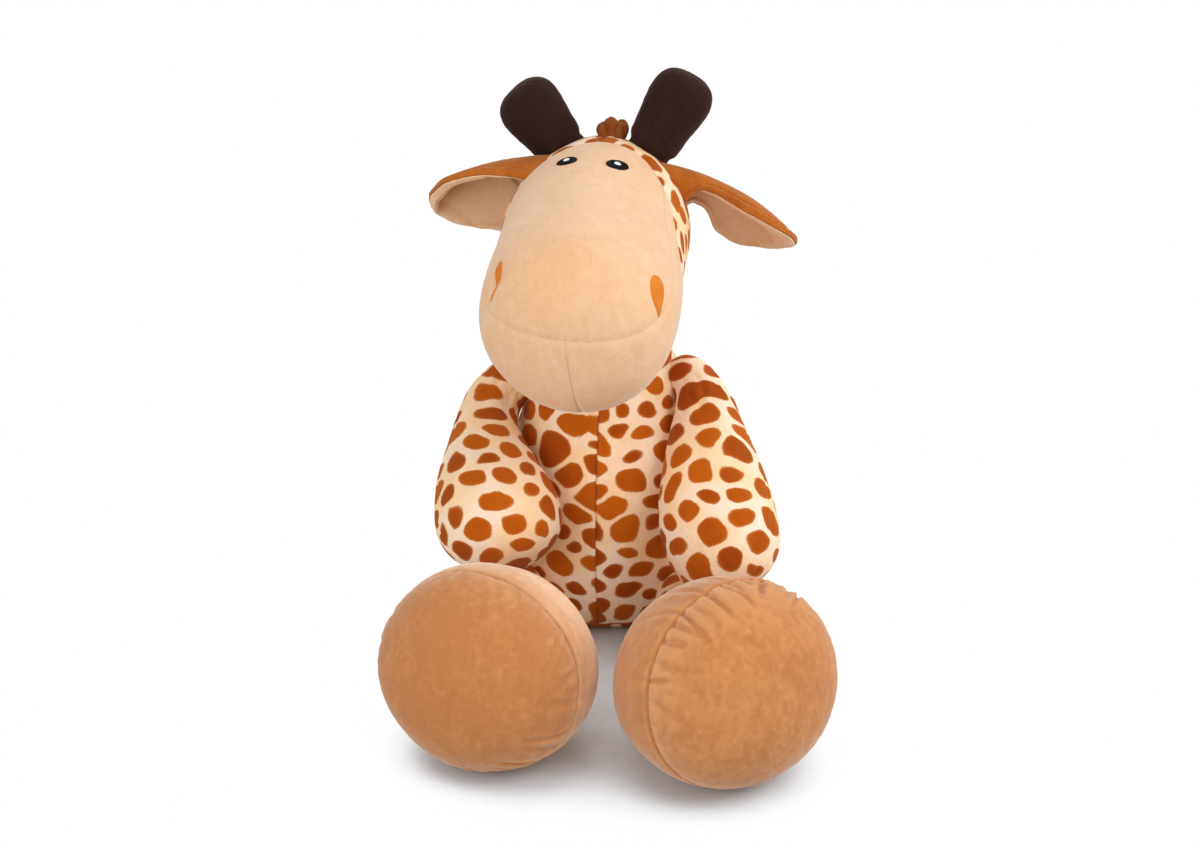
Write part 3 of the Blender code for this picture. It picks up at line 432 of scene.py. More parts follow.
class Skin:
    # The outer skin of one stuffed piece, as arrays of points and outward normals
    def __init__(self, mesh):
        self.mesh = mesh
        self.mesh.shade_smooth()
        self.read()

    def read(self):
        count = len(self.mesh.vertices)
        self.points = np.empty(count * 3)
        self.mesh.vertices.foreach_get("co", self.points)
        self.points = self.points.reshape(-1, 3)
        self.normals = np.empty(count * 3)
        self.mesh.vertices.foreach_get("normal", self.normals)
        self.normals = self.normals.reshape(-1, 3)

    def push(self, distance):
        self.points = self.points + self.normals * np.asarray(distance)[:, None]

    def settle(self):
        self.mesh.vertices.foreach_set("co", self.points.ravel())
        self.mesh.update()
        self.read()

    def lumps(self, size, height, seed):
        self.push(softNoise(self.points, size, seed) * height)

    def pile(self, height, seed):
        self.push(softNoise(self.points, 0.0042, seed) * height)

    def seam(self, point, normal, depth=0.0020, width=0.0021, pucker=0.0, reach=0.014, spacing=0.008,
             seed=0.0, share=None, lean=1.0):
        # A sewn groove where a plane meets the skin, with puckers that run off it
        point, normal = np.array(point, float), np.array(Vector(normal).normalized())
        away = (self.points - point) @ normal
        first = np.array(Vector(normal).orthogonal().normalized())
        second = np.cross(normal, first)
        near = np.abs(away) < 0.01
        middle = self.points[near].mean(0) if near.any() else point
        flat = self.points - middle
        angle = np.arctan2(flat @ second, flat @ first)
        radius = np.hypot(flat @ second, flat @ first)
        typical = radius[near].mean() if near.any() else 0.05
        ring = np.stack([np.cos(angle), np.sin(angle), np.zeros(len(angle))], 1) * typical
        ring[:, 2] = away * 0.45
        fold = softNoise(ring, spacing, seed) * 0.7 + softNoise(ring, spacing * 0.55, seed + 3) * 0.4
        fold = -np.clip(fold - 0.05, 0.0, 1.0) + 0.35 * np.clip(-fold, 0.0, 1.0)
        patchy = 0.35 + 0.65 * np.clip(softNoise(ring, spacing * 5, seed + 7) + 0.45, 0.0, 1.0)
        reachNow = reach * (0.7 + 0.5 * softNoise(ring, spacing * 3, seed + 9))
        fade = np.exp(-np.abs(away) / np.maximum(reachNow, 0.003))
        oneSide = np.where(away > 0, 1.0, lean)
        move = -depth * np.exp(-((away / width) ** 2)) + pucker * fold * fade * patchy * oneSide
        self.push(move if share is None else move * share)

    def creases(self, point, normal, spacing, depth, length, seed, side=-1, width=0.0024, slant=(-0.35, 0.35),
                share=None):
        # Gathers that run off a seam, each with its own depth, length and slant
        rng = np.random.default_rng(seed)
        point, normal = np.array(point, float), np.array(Vector(normal).normalized())
        away = (self.points - point) @ normal
        first = np.array(Vector(normal).orthogonal().normalized())
        second = np.cross(normal, first)
        near = np.abs(away) < 0.006
        middle = self.points[near].mean(0)
        flat = self.points - middle
        angle = np.arctan2(flat @ second, flat @ first)
        radius = np.hypot(flat @ second, flat @ first)[near].mean()
        steepness = np.abs(self.normals @ normal)
        off = np.abs(away) * (1 + 0.9 * steepness)  # roughly the way along the skin
        count = int(2 * math.pi * radius / spacing)
        total = np.zeros(len(away))
        for one in range(count):
            start = (one + rng.uniform(-0.45, 0.45)) / count * 2 * math.pi
            deep = depth * rng.uniform(0.15, 1.0) ** 1.6
            long = length * rng.uniform(0.35, 1.0)
            wide = width * rng.uniform(0.7, 1.6)
            lean, both = rng.uniform(*slant), rng.uniform(0.0, 0.5)
            turn = (angle - start + math.pi) % (2 * math.pi) - math.pi
            offset = turn * radius - lean * off
            spread = wide * (1 + off / long * 0.8)
            fade = np.clip(1 - off / long, 0, 1) ** 0.8 * (0.55 + 0.45 * np.clip(off / 0.008, 0, 1))
            fade = fade * np.where(away * side > 0, 1.0, both)
            ratio = offset / spread
            total += deep * fade * (0.26 * np.exp(-((np.abs(ratio) - 1.9) ** 2)) - np.exp(-ratio * ratio))
        self.push(total if share is None else total * share)

    def rest(self, height):
        # Rests on the floor: what would reach below it is flattened
        low = self.points[:, 2] < height
        self.points[low, 2] = height


def pointsOf(mesh):
    points = np.empty(len(mesh.vertices) * 3)
    mesh.vertices.foreach_get("co", points)
    return points.reshape(-1, 3)


def store(mesh, name, values):
    made = mesh.attributes.new(name, "FLOAT", "POINT")
    made.data.foreach_set("value", np.asarray(values, np.float32))


def foldDepth(mesh, rounds=14):
    # How far each point stands out of the skin round it: below 0 down in a fold or seam
    points = pointsOf(mesh)
    normals = np.empty(len(points) * 3)
    mesh.vertices.foreach_get("normal", normals)
    edges = np.empty(len(mesh.edges) * 2, np.int32)
    mesh.edges.foreach_get("vertices", edges)
    near = np.concatenate([edges.reshape(-1, 2), edges.reshape(-1, 2)[:, ::-1]])
    count = np.bincount(near[:, 0], minlength=len(points))
    flat = points.copy()
    for _ in range(rounds):
        sums = [np.bincount(near[:, 0], flat[near[:, 1], axis], len(points)) for axis in range(3)]
        flat = np.stack(sums, 1) / count[:, None]
    out = ((points - flat) * normals.reshape(-1, 3)).sum(1)
    return out - np.median(out)


def clothMap(mesh, matrix=None, shift=(0.0, 0.0, 0.0)):
    # Where each point lies on the printed cloth, in metres
    points = pointsOf(mesh)
    if matrix is not None:
        back = np.array(matrix.inverted())
        points = points @ back[:3, :3].T + back[:3, 3]
    points = points + np.array(shift)
    made = mesh.attributes.new("cloth", "FLOAT_VECTOR", "POINT")
    made.data.foreach_set("vector", points.astype(np.float32).ravel())


def pointTree(points):
    tree = KDTree(len(points))
    for one, place in enumerate(points):
        tree.insert(place, one)
    tree.balance()
    return tree


def printSpots(mesh, seed, grain=(0, 0, 1), spacing=1.0, grow=0.0):
    # Scatters the spots over one panel: how deep each point lies inside a spot, and that spot's tone
    rng = np.random.default_rng(seed)
    points = pointsOf(mesh)
    bent = points.copy()
    for turn, (size, reach) in enumerate(spots["bends"]):
        for axis in range(3):
            bent[:, axis] += softNoise(points, size, seed + axis * 5.3 + turn * 2.1) * reach
    grain = np.array(Vector(grain).normalized())
    bent += np.outer(bent @ grain, grain) * (spots["squat"] - 1)
    tree = pointTree(bent)
    middles = np.full((1, 3), 9.0)  # far off, and dropped again below
    # Thrown at the panel's box and moved to the nearest point of the skin, so the order of its points doesn't matter
    for thrown in rng.uniform(bent.min(0), bent.max(0), (spots["throws"], 3)):
        place = np.array(tree.find(thrown)[0])
        if ((middles - place) ** 2).sum(1).min() > (spots["spacing"] * spacing) ** 2:
            middles = np.vstack([middles, place])
    middles = middles[1:]
    apart = np.linalg.norm(middles[:, None] - middles[None], axis=2) + np.eye(len(middles))
    group = np.arange(len(middles))
    for one in np.flatnonzero(rng.random(len(middles)) < spots["joined"]):
        group[one] = group[apart[one].argmin()]
    size = rng.uniform(-1, 1, len(middles)) * spots["sizes"]
    tones = rng.random(len(middles))
    depth, tone = np.empty(len(bent)), np.empty(len(bent))
    for start in range(0, len(bent), 8000):
        part = slice(start, start + 8000)
        reach = np.linalg.norm(bent[part, None] - middles[None], axis=2) - size
        owner = reach.argmin(1)
        room = (reach - reach.min(1)[:, None]) / 2
        room[group[owner][:, None] == group[None]] = 1.0
        depth[part] = -spots["corner"] * np.log(np.exp(-room / spots["corner"]).sum(1))
        tone[part] = tones[group[owner]]
    store(mesh, "spotDepth", depth + grow + softNoise(points, 0.02, seed + 40) * 0.0008)
    store(mesh, "spotTone", tone)


allowance = 0.0035  # seam allowance, the cloth's edge turned into the seam
slit = 0.00004  # half the crack between two panels


def cutPanels(skin, seams, panels):
    # Cuts the skin along its seam planes. Each panel is picked by its side of them, and its cut edge turns in.
    bm = bmesh.new()
    bm.from_mesh(skin.mesh)
    for point, normal in seams.values():
        bmesh.ops.bisect_plane(
            bm, geom=[*bm.verts, *bm.edges, *bm.faces], dist=1e-7, plane_co=point, plane_no=normal
        )
    whole = bpy.data.meshes.new("whole")
    bm.to_mesh(whole)
    bm.free()
    centres = np.empty(len(whole.polygons) * 3)
    whole.polygons.foreach_get("center", centres)
    centres = centres.reshape(-1, 3)
    far = {name: (centres - np.array(point)) @ np.array(normal) for name, (point, normal) in seams.items()}
    made = {}
    for name, picks in panels.items():
        keep = picks(far)
        bm = bmesh.new()
        bm.from_mesh(whole)
        bm.faces.ensure_lookup_table()
        bmesh.ops.delete(bm, geom=[bm.faces[i] for i in np.flatnonzero(~keep)], context="FACES")
        rims = [edge for edge in bm.edges if edge.is_boundary]
        outward = {vert: Vector(vert.normal) for edge in rims for vert in edge.verts}
        for vert in outward:
            inner = [edge.other_vert(vert).co - vert.co for edge in vert.link_edges if not edge.is_boundary]
            if inner:
                step = sum(inner, Vector())
                vert.co += step.normalized() * slit if step.length > 1e-9 else Vector()
        turned = bmesh.ops.extrude_edge_only(bm, edges=rims)["geom"]
        for vert in (item for item in turned if isinstance(item, bmesh.types.BMVert)):
            top = next((edge.other_vert(vert) for edge in vert.link_edges if edge.other_vert(vert) in outward), None)
            if top is not None:
                vert.co -= outward[top] * allowance
        bm.normal_update()
        mesh = bpy.data.meshes.new(name)
        bm.to_mesh(mesh)
        bm.free()
        mesh.shade_smooth()
        made[name] = link(name, mesh)
    bpy.data.meshes.remove(whole)
    return made


def dress(obj, finish, body, nodes, matrix=None, shift=(0.0, 0.0, 0.0)):
    if "cloth" not in obj.data.attributes:
        clothMap(obj.data, matrix, shift)
    obj.data.materials.clear()
    obj.data.materials.append(materials[finish])
    if isinstance(body, str):
        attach(obj, body)
    else:
        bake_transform(obj)
    if nodes:
        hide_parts(*nodes)
    return obj


# Body

torso = {
    "height": 0.245,
    "width": 0.184,
    "depth": 0.172,
    "rings": [(0.00, 0.60), (0.09, 0.90), (0.32, 1.01), (0.57, 0.95), (0.78, 0.82), (0.93, 0.62), (1.06, 0.48)],
    "sideSeam": 0.12,
    "baseSeam": 0.009,
    "prints": (3, 4, 5, 6),  # a seed for each panel's spots
}


def makeTorso():
    height, width, depth = torso["height"], torso["width"], torso["depth"]
    spine = [Vector((0, 0, height * share)) for share, _ in torso["rings"]]
    halves = [(width / 2 * share, depth / 2 * share) for _, share in torso["rings"]]
    top = spine[-1] + (spine[-1] - spine[-2]) / 2
    skin = loftForm("torso", [spine[0], *spine, top], halves, 10, Vector((1, 0, 0)), 5)
    skin.lumps(0.055, 0.0016, 1)
    skin.settle()
    sideY = depth * torso["sideSeam"]
    above = np.clip((skin.points[:, 2] - 0.012) / 0.02, 0, 1)
    inFront = np.clip((sideY - skin.points[:, 1]) / 0.004, 0, 1) * above
    skin.seam((0, 0, 0.1), (1, 0, 0), depth=0.0008, width=0.0013, pucker=0.0008, reach=0.010, spacing=0.011, seed=2,
              share=inFront)
    skin.seam((0, sideY, 0.1), (0, 1, 0), pucker=0.0011, reach=0.013, spacing=0.010, seed=3, share=above)
    skin.seam((0, 0, torso["baseSeam"]), (0, 0, 1), pucker=0.0012, reach=0.012, spacing=0.010, seed=4)
    skin.pile(0.00018, 5)
    skin.rest(0.0)
    skin.settle()
    seams = {
        "middle": ((0, 0, 0), (1, 0, 0)),
        "side": ((0, sideY, 0), (0, 1, 0)),
        "base": ((0, 0, torso["baseSeam"]), (0, 0, 1)),
        "neck": ((0, 0, height), (0, 0, 1)),
    }
    panels = {
        "bodyFrontLeft": lambda far: (far["middle"] > 0) & (far["side"] < 0) & (far["base"] > 0) & (far["neck"] < 0),
        "bodyFrontRight": lambda far: (far["middle"] < 0) & (far["side"] < 0) & (far["base"] > 0) & (far["neck"] < 0),
        "bodyBack": lambda far: (far["side"] > 0) & (far["base"] > 0) & (far["neck"] < 0),
        "bodyBase": lambda far: far["base"] < 0,
    }
    nodes = {
        "bodyFrontLeft": ["body_front_left"],
        "bodyFrontRight": ["body_front_right"],
        "bodyBack": ["body_back", "body_stuffing"],
        "bodyBase": ["body_base", "pellet_bag"],
    }
    for count, (name, obj) in enumerate(cutPanels(skin, seams, panels).items()):
        printSpots(obj.data, torso["prints"][count], grow=0.0006)
        shift = (0.31 * count, 0.017 * count, 0.011 * count)
        dress(obj, "spottedPlush", "body", nodes[name], shift=shift)
    print("body made")
    return skin


neck = {"width": 0.088, "bottom": 0.2435, "top": 0.300, "rows": 30, "around": 110, "flare": 0.016}


def makeNeck(body):
    # Starts as wide as the torso's top edge and narrows to the tube that the head sits on
    edge = body.points[np.abs(body.points[:, 2] - torso["height"]) < 0.002]
    wide, deep = np.abs(edge[:, 0]).max(), np.abs(edge[:, 1]).max()
    bm = bmesh.new()
    bmesh.ops.create_grid(bm, x_segments=neck["around"], y_segments=neck["rows"], size=1.0)
    for vert in bm.verts:
        turn, up = vert.co.x * math.pi, (vert.co.y + 1) / 2
        height = neck["bottom"] + (neck["top"] - neck["bottom"]) * up
        share = min(1.0, max(0.0, (height - torso["height"]) / neck["flare"]))
        share = share * share * (3 - 2 * share)
        crease = 1 + 0.030 * share * math.sin(turn * 7 + up * 3) * math.sin(turn * 3 + 1)
        tuck = 0.0016 * math.exp(-(((height - torso["height"]) / 0.0016) ** 2))
        across = (wide + (neck["width"] / 2 - wide) * share) * crease - tuck
        along = (deep + (neck["width"] / 2 - deep) * share) * crease - tuck
        vert.co = Vector((across * math.cos(turn), along * math.sin(turn), height))
    bmesh.ops.remove_doubles(bm, verts=bm.verts, dist=1e-5)
    bmesh.ops.recalc_face_normals(bm, faces=bm.faces)
    mesh = bpy.data.meshes.new("neckCover")
    bm.to_mesh(mesh)
    bm.free()
    mesh.shade_smooth()
    printSpots(mesh, 8)
    joint = jointPlace["neck_turn"]
    ends = (joint - Vector((0, 0, 0.001)), joint + Vector((0, 0, 0.022)))
    dress(link("neckCover", mesh), "spottedPlush", ("body", "neck", *ends), ["neck_cover", "neck_stuffing"],
          shift=(0.7, 0.1, 0))
    print("neck made")


# Head

head = {
    "length": 0.312,
    "width": 0.160,
    "height": 0.158,
    "pitch": 11.0,
    "roll": -4.5,
    "yaw": -0.9,
    "skull": 0.25,
    # length, width and height shares, and the shift to the toy's left as a share of the width
    "rings": [
        (0.05, 0.46, 0.48, 0.0), (0.16, 0.84, 0.90, -0.020), (0.33, 0.97, 1.01, -0.042), (0.53, 0.94, 0.94, -0.046),
        (0.72, 0.98, 0.99, -0.004), (0.87, 0.94, 0.96, 0.0), (0.96, 0.61, 0.62, 0.0),
    ],
    "faceSeam": 0.32,
    "faceSeamLean": -54.0,
    "mouthRise": 0.07,
    "mouthPitch": 12.0,
    "mouthRoll": 6.0,
}

crown = Matrix.Translation((0, 0, torso["height"] + 0.026 + head["height"] / 2)) @ Matrix.Rotation(
    math.radians(head["roll"]), 4, "Y"
)
headPlace = (
    crown
    @ Matrix.Rotation(math.radians(head["yaw"]), 4, "Z")
    @ Matrix.Rotation(math.radians(head["pitch"]), 4, "X")
)


def makeHead():
    back = head["length"] * head["skull"]
    spine = [Vector((0, back, 0))]
    spine += [Vector((head["width"] * shift, back - head["length"] * y, 0)) for y, _, _, shift in head["rings"]]
    spine.append(Vector((0, back - head["length"], 0)))
    halves = [(head["width"] / 2 * w, head["height"] / 2 * h) for _, w, h, _ in head["rings"]]
    skin = loftForm("head", spine, halves, 10, Vector((1, 0, 0)), 5, headPlace)
    skin.lumps(0.065, 0.0018, 11)
    skin.settle()
    turn = headPlace.to_3x3()
    meeting = headPlace @ Vector((0, -head["length"] * head["faceSeam"], 0))
    mouth = headPlace @ Vector((0, head["length"] * (head["skull"] - 1), head["height"] * head["mouthRise"]))
    facing = turn @ Matrix.Rotation(math.radians(head["faceSeamLean"]), 3, "X") @ Vector((0, -1, 0))
    tilt = Matrix.Rotation(math.radians(head["mouthRoll"]), 3, "Y")
    upward = turn @ tilt @ Matrix.Rotation(math.radians(head["mouthPitch"]), 3, "X") @ Vector((0, 0, 1))
    forward = turn @ Vector((0, -1, 0))
    across = turn @ Vector((1, 0, 0))
    middle = headPlace.translation
    seams = {
        "face": (meeting, facing), "jaw": (meeting, forward), "mouth": (mouth, upward), "middle": (middle, across),
    }
    far = {name: (skin.points - np.array(point)) @ np.array(normal) for name, (point, normal) in seams.items()}

    def past(name, margin=0.003):
        return np.clip(far[name] / margin, 0, 1)

    def before(name, margin=0.003):
        return np.clip(-far[name] / margin, 0, 1)

    local = (skin.points - np.array(middle)) @ np.array(turn)
    front = 1 - before("face") * before("jaw")
    muzzle = np.clip((-local[:, 1] - 0.165) / 0.016, 0.12, 1) * past("face")
    skin.seam(meeting, facing, depth=0.0016, pucker=0.0006, reach=0.010, spacing=0.012, seed=12,
              share=np.clip(-far["jaw"] / 0.003, 0, 1))
    skin.seam(meeting, forward, depth=0.0016, pucker=0.0006, reach=0.010, spacing=0.012, seed=17,
              share=np.clip(-far["face"] / 0.003, 0, 1))
    skin.seam(mouth, upward, depth=0.0009, width=0.0030, pucker=0.0005, reach=0.012, spacing=0.010,
              seed=13, share=muzzle)
    skin.seam(middle, across, depth=0.0010, width=0.0020, pucker=0.0003, reach=0.008, spacing=0.012,
              seed=14, share=before("mouth") * front)
    skin.seam(middle, across, depth=0.0016, pucker=0.0008, reach=0.010, spacing=0.010, seed=15, share=1 - front)
    for (x, y, z), (long, deep, high), pinch in face["darts"]:  # the muzzle is pinched in at each nostril
        away = (local - np.array((x, y, z))) / np.array((long, deep, high))
        skin.push(-pinch * np.exp(-(away ** 2).sum(1)))
    skin.pile(0.00018, 16)
    skin.settle()

    def skull(far):
        return (far["face"] < 0) & (far["jaw"] < 0)

    panels = {
        "facePanel": lambda far: (far["face"] > 0) & (far["mouth"] > 0),
        "chinLeft": lambda far: ~skull(far) & (far["mouth"] < 0) & (far["middle"] > 0),
        "chinRight": lambda far: ~skull(far) & (far["mouth"] < 0) & (far["middle"] < 0),
        "headBackLeft": lambda far: skull(far) & (far["middle"] > 0),
        "headBackRight": lambda far: skull(far) & (far["middle"] < 0),
    }
    nodes = {
        "facePanel": ["face_panel", "head_stuffing"],
        "chinLeft": ["chin_left"],
        "chinRight": ["chin_right"],
        "headBackLeft": ["head_back_left"],
        "headBackRight": ["head_back_right"],
    }
    for count, (name, obj) in enumerate(cutPanels(skin, seams, panels).items()):
        isSpotted = name.startswith("headBack")
        shift = (0.23 * count, 0.05 * count, 0.02 * count) if isSpotted else (0, 0, 0)
        if isSpotted:
            printSpots(obj.data, 20 + count, facing, 0.92)
        else:
            local = (pointsOf(obj.data) - np.array(middle)) @ np.array(turn)
            blushAndPaintedLight = np.exp(-(((local - np.array(face["blush"])) / np.array(face["blushSize"])) ** 2).sum(1))
            store(obj.data, "blushAndPaintedLight", blushAndPaintedLight * face["blushShare"])
        dress(obj, "spottedPlush" if isSpotted else "creamPlush", "head", nodes[name],
              headPlace, shift)
    print("head made")
    return skin


# Eyes and nostrils

def treeOf(skin):
    mesh = skin.mesh
    corners = [tuple(poly.vertices) for poly in mesh.polygons]
    return BVHTree.FromPolygons([tuple(point) for point in skin.points], corners)


def aimed(point, direction, hint):
    z = Vector(direction).normalized()
    x = (Vector(hint) - z * Vector(hint).dot(z)).normalized()
    return Matrix.Translation(point) @ Matrix((x, z.cross(x), z)).transposed().to_4x4()


def drapePatch(name, tree, place, outline, rings, around, rise, sink, relief=None):
    # A round patch laid on the skin: outline(angle) gives its half size in each direction
    bm = bmesh.new()
    origin = place.translation
    direction = (place.to_3x3() @ Vector((0, 0, 1))).normalized()
    rows = []
    for ring in range(rings + 1):
        share = ring / rings
        row = []
        for step in range(around):
            angle = 2 * math.pi * step / around
            x, y = outline(angle)
            spot = place @ Vector((x * min(share, 1.0), y * min(share, 1.0), 0.0))
            hit, normal, _, _ = tree.ray_cast(spot, direction)
            lift = rise * math.sqrt(max(0.0, 1 - share ** 4)) - sink * (share > 0.999)
            if relief:
                lift += relief(share, angle, x, y) * (share < 0.95)
            row.append(bm.verts.new(hit + normal * lift))
            if ring == 0:
                break
        rows.append(row)
    for first, second in zip(rows, rows[1:]):
        for step in range(around):
            after = (step + 1) % around
            if len(first) == 1:
                bm.faces.new((first[0], second[step], second[after]))
            else:
                bm.faces.new((first[step], second[step], second[after], first[after]))
    bmesh.ops.recalc_face_normals(bm, faces=bm.faces)
    mesh = bpy.data.meshes.new(name)
    bm.to_mesh(mesh)
    bm.free()
    if mesh.vertices[0].normal.dot(direction) < 0:
        mesh.flip_normals()
    mesh.shade_smooth()
    return link(name, mesh)


face = {
    "eyeWidth": 0.0185,
    "eyeHeight": 0.0148,
    "eyePlaces": {"left": (0.0199, -0.0465), "right": (-0.0214, -0.0420)},
    "eyeTilt": 20.0,
    "sparkWidth": 0.0064,
    "sparkHeight": 0.0060,
    "stitch": 0.00085,  # width of one satin stitch
    "nostrilLength": 0.033,
    "nostrilWidth": {"left": 0.0185, "right": 0.0100},
    "nostrils": {"left": (0.0690, -0.186, 0.0270), "right": (-0.0570, -0.189, 0.0440)},
    "nostrilAim": {"left": (0.003, -0.018, -0.023), "right": (-0.007, -0.015, -0.0165)},
    "darts": [  # middle and reach in the head's own axes, and depth
        ((0.069, -0.190, 0.0270), (0.012, 0.010, 0.013), 0.0028),
        ((-0.060, -0.190, 0.0400), (0.012, 0.0065, 0.020), 0.0048),
    ],
    "blush": (-0.012, -0.205, 0.052),
    "blushSize": (0.034, 0.045, 0.030),
    "blushShare": 0.36,
}


def makeFace(skin):
    tree = treeOf(skin)

    def satin(share, angle, x, y):
        return 0.00022 * math.sin(2 * math.pi * y * share / face["stitch"])

    def oval(width, height):
        return lambda angle: (width / 2 * math.cos(angle), height / 2 * math.sin(angle))

    for side, sign in sides.items():
        x, y = face["eyePlaces"][side]
        tilt = Matrix.Rotation(math.radians(face["eyeTilt"]) * sign, 3, "Z")
        place = headPlace @ aimed(Vector((x, y, 0)), (0, 0, 1), tilt @ Vector((1, 0, 0)))
        eye = drapePatch(side + "Eye", tree, place, oval(face["eyeWidth"], face["eyeHeight"]),
                         22, 72, 0.0013, 0.0012, satin)
        dress(eye, "blackThread", "head", [side + "_eye"])
        spark = drapePatch(side + "EyeSpark", tree, place, oval(face["sparkWidth"], face["sparkHeight"]),
                           10, 40, 0.0018, -0.0007, satin)
        dress(spark, "whiteThread", "head", [side + "_eye_highlight"])
        middle = Vector(face["nostrils"][side])
        outward = Vector((middle.x, 0, middle.z))
        place = headPlace @ aimed(Vector((0, middle.y, 0)), outward, face["nostrilAim"][side])

        def drop(angle):
            # Round at the top and narrow where it runs down to the seam
            wide = math.sin(angle) * (0.80 - 0.38 * math.cos(angle))
            return face["nostrilLength"] / 2 * math.cos(angle), face["nostrilWidth"][side] / 2 * wide

        patch = drapePatch(side + "Nostril", tree, place, drop, 16, 64, 0.0012, 0.0014)
        dress(patch, "orangeFelt", "head", [side + "_nostril"])
    print("face made")


# Horns, tuft and mane

horns = {
    "lengths": {"left": 0.075, "right": 0.0665},
    "width": 0.0555,
    "bases": {"left": (0.03499, 0.010, 0.05707), "right": (-0.03613, 0.010, 0.06188)},
    "lean": {"left": 35.0, "right": 33.0},
    "backLean": {"left": 8.0, "right": -6.0},
    "root": 0.016,
    "rings": [(0.10, 0.76), (0.40, 0.80), (0.76, 1.04), (0.94, 0.74)],
}


def makeHorns():
    for side, sign in sides.items():
        lean, back = math.radians(horns["lean"][side]) * sign, math.radians(horns["backLean"][side])
        direction = Matrix.Rotation(-back, 3, "X") @ Vector((math.sin(lean), 0, math.cos(lean)))
        start = Vector(horns["bases"][side]) - direction * horns["root"]
        reach = horns["lengths"][side] + horns["root"]
        spine = [start, *[start + direction * (reach * share) for share, _ in horns["rings"]]]
        spine.append(start + direction * reach)
        halves = [(horns["width"] / 2 * share,) * 2 for _, share in horns["rings"]]
        skin = loftForm(side + "Horn", spine, halves, 6, Vector((1, 0, 0)), 5, crown)
        skin.lumps(0.030, 0.0009, 21 + sign)
        skin.settle()
        origin = crown @ start
        edge = crown.to_3x3() @ Vector((-0.12, 1, 0))
        skin.seam(origin + crown.to_3x3() @ Vector((0, 0.006, 0)), edge, depth=0.0010, width=0.0014, pucker=0.0006,
                  reach=0.009, spacing=0.007, seed=22)
        along = (skin.points - np.array(origin)) @ np.array(crown.to_3x3() @ direction)
        skin.push(-0.0022 * np.exp(-(((along - horns["root"] - 0.001) / 0.004) ** 2)))  # gathered where it is sewn on
        skin.pile(0.00022, 23)
        skin.settle()
        obj = link(side + "Horn", skin.mesh)
        dress(obj, "darkPlush", "head", [side + "_horn_cover", side + "_horn_stuffing"])
    print("horns made")


tuft = {
    "base": (0.00535, 0.014, 0.06799),
    "root": 0.007,
    # x and lean from the tuft's middle, then height, width and depth of each lobe
    "lobes": [
        (-0.0052, -0.0030, 0.0128, 0.0118, 0.0180), (-0.0012, 0.0012, 0.0172, 0.0128, 0.0200),
        (0.0034, 0.0036, 0.0138, 0.0130, 0.0210),
    ],
}

mane = {"width": 0.016, "height": 0.010, "start": 0.036, "endDrop": 0.030, "rings": 9}


def joined(name, skins):
    bm = bmesh.new()
    for skin in skins:
        bm.from_mesh(skin.mesh)
    mesh = bpy.data.meshes.new(name)
    bm.to_mesh(mesh)
    bm.free()
    return link(name, mesh)


def makeHair(headSkin):
    lobes = []
    for count, (x, lean, height, width, depth) in enumerate(tuft["lobes"]):
        start = Vector(tuft["base"]) + Vector((x, 0.002 * count, -tuft["root"]))
        rise = Vector((lean, 0, height + tuft["root"]))
        rings = [(0.10, 0.80), (0.45, 1.00), (0.80, 0.86), (0.96, 0.50)]
        spine = [start, *[start + rise * share for share, _ in rings], start + rise]
        halves = [(width / 2 * share, depth / 2 * share) for _, share in rings]
        skin = loftForm("tuftLobe", spine, halves, 6, Vector((1, 0, 0)), 5, crown)
        streak = skin.points * np.array((1.0, 1.0, 0.30))
        skin.push(softNoise(streak, 0.0030, 31 + count) * 0.0011 + softNoise(skin.points, 0.008, 35) * 0.0015)
        skin.settle()
        lobes.append(skin)
    dress(joined("hairTuft", lobes), "hairPlush", "head", ["hair_tuft"])
    # The mane's ridge follows the back of the head from the crown down to the nape
    tree = treeOf(headSkin)
    turn = headPlace.to_3x3()
    low, high = -math.asin(mane["endDrop"] / 0.075), math.radians(68)
    route, halves = [], []
    for step in range(mane["rings"]):
        angle = high + (low - high) * step / (mane["rings"] - 1)
        direction = turn @ Vector((0, math.cos(angle), math.sin(angle)))
        hit, normal, _, _ = tree.ray_cast(headPlace @ Vector((0, 0.012, 0)), direction)
        inner = step in (0, mane["rings"] - 1)
        route.append(hit + normal * (0.0005 if inner else 0.0020))
        if not inner:
            halves.append((mane["width"] / 2 * 0.98, mane["height"] * 0.74))
    skin = loftForm("mane", route, halves, 8, turn @ Vector((1, 0, 0)), 4)
    local = (skin.points - np.array(headPlace.translation)) @ np.array(turn)
    angle = np.arctan2(local[:, 2], local[:, 1])
    locks = np.abs(np.sin(angle * 8.5 + softNoise(skin.points, 0.010, 37) * 0.5))
    skin.push((locks ** 0.6 - 0.75) * 0.0022 + softNoise(skin.points, 0.0035, 38) * 0.0006)
    skin.settle()
    dress(link("mane", skin.mesh), "hairPlush", "head", ["mane"])
    print("hair made")


# Ears

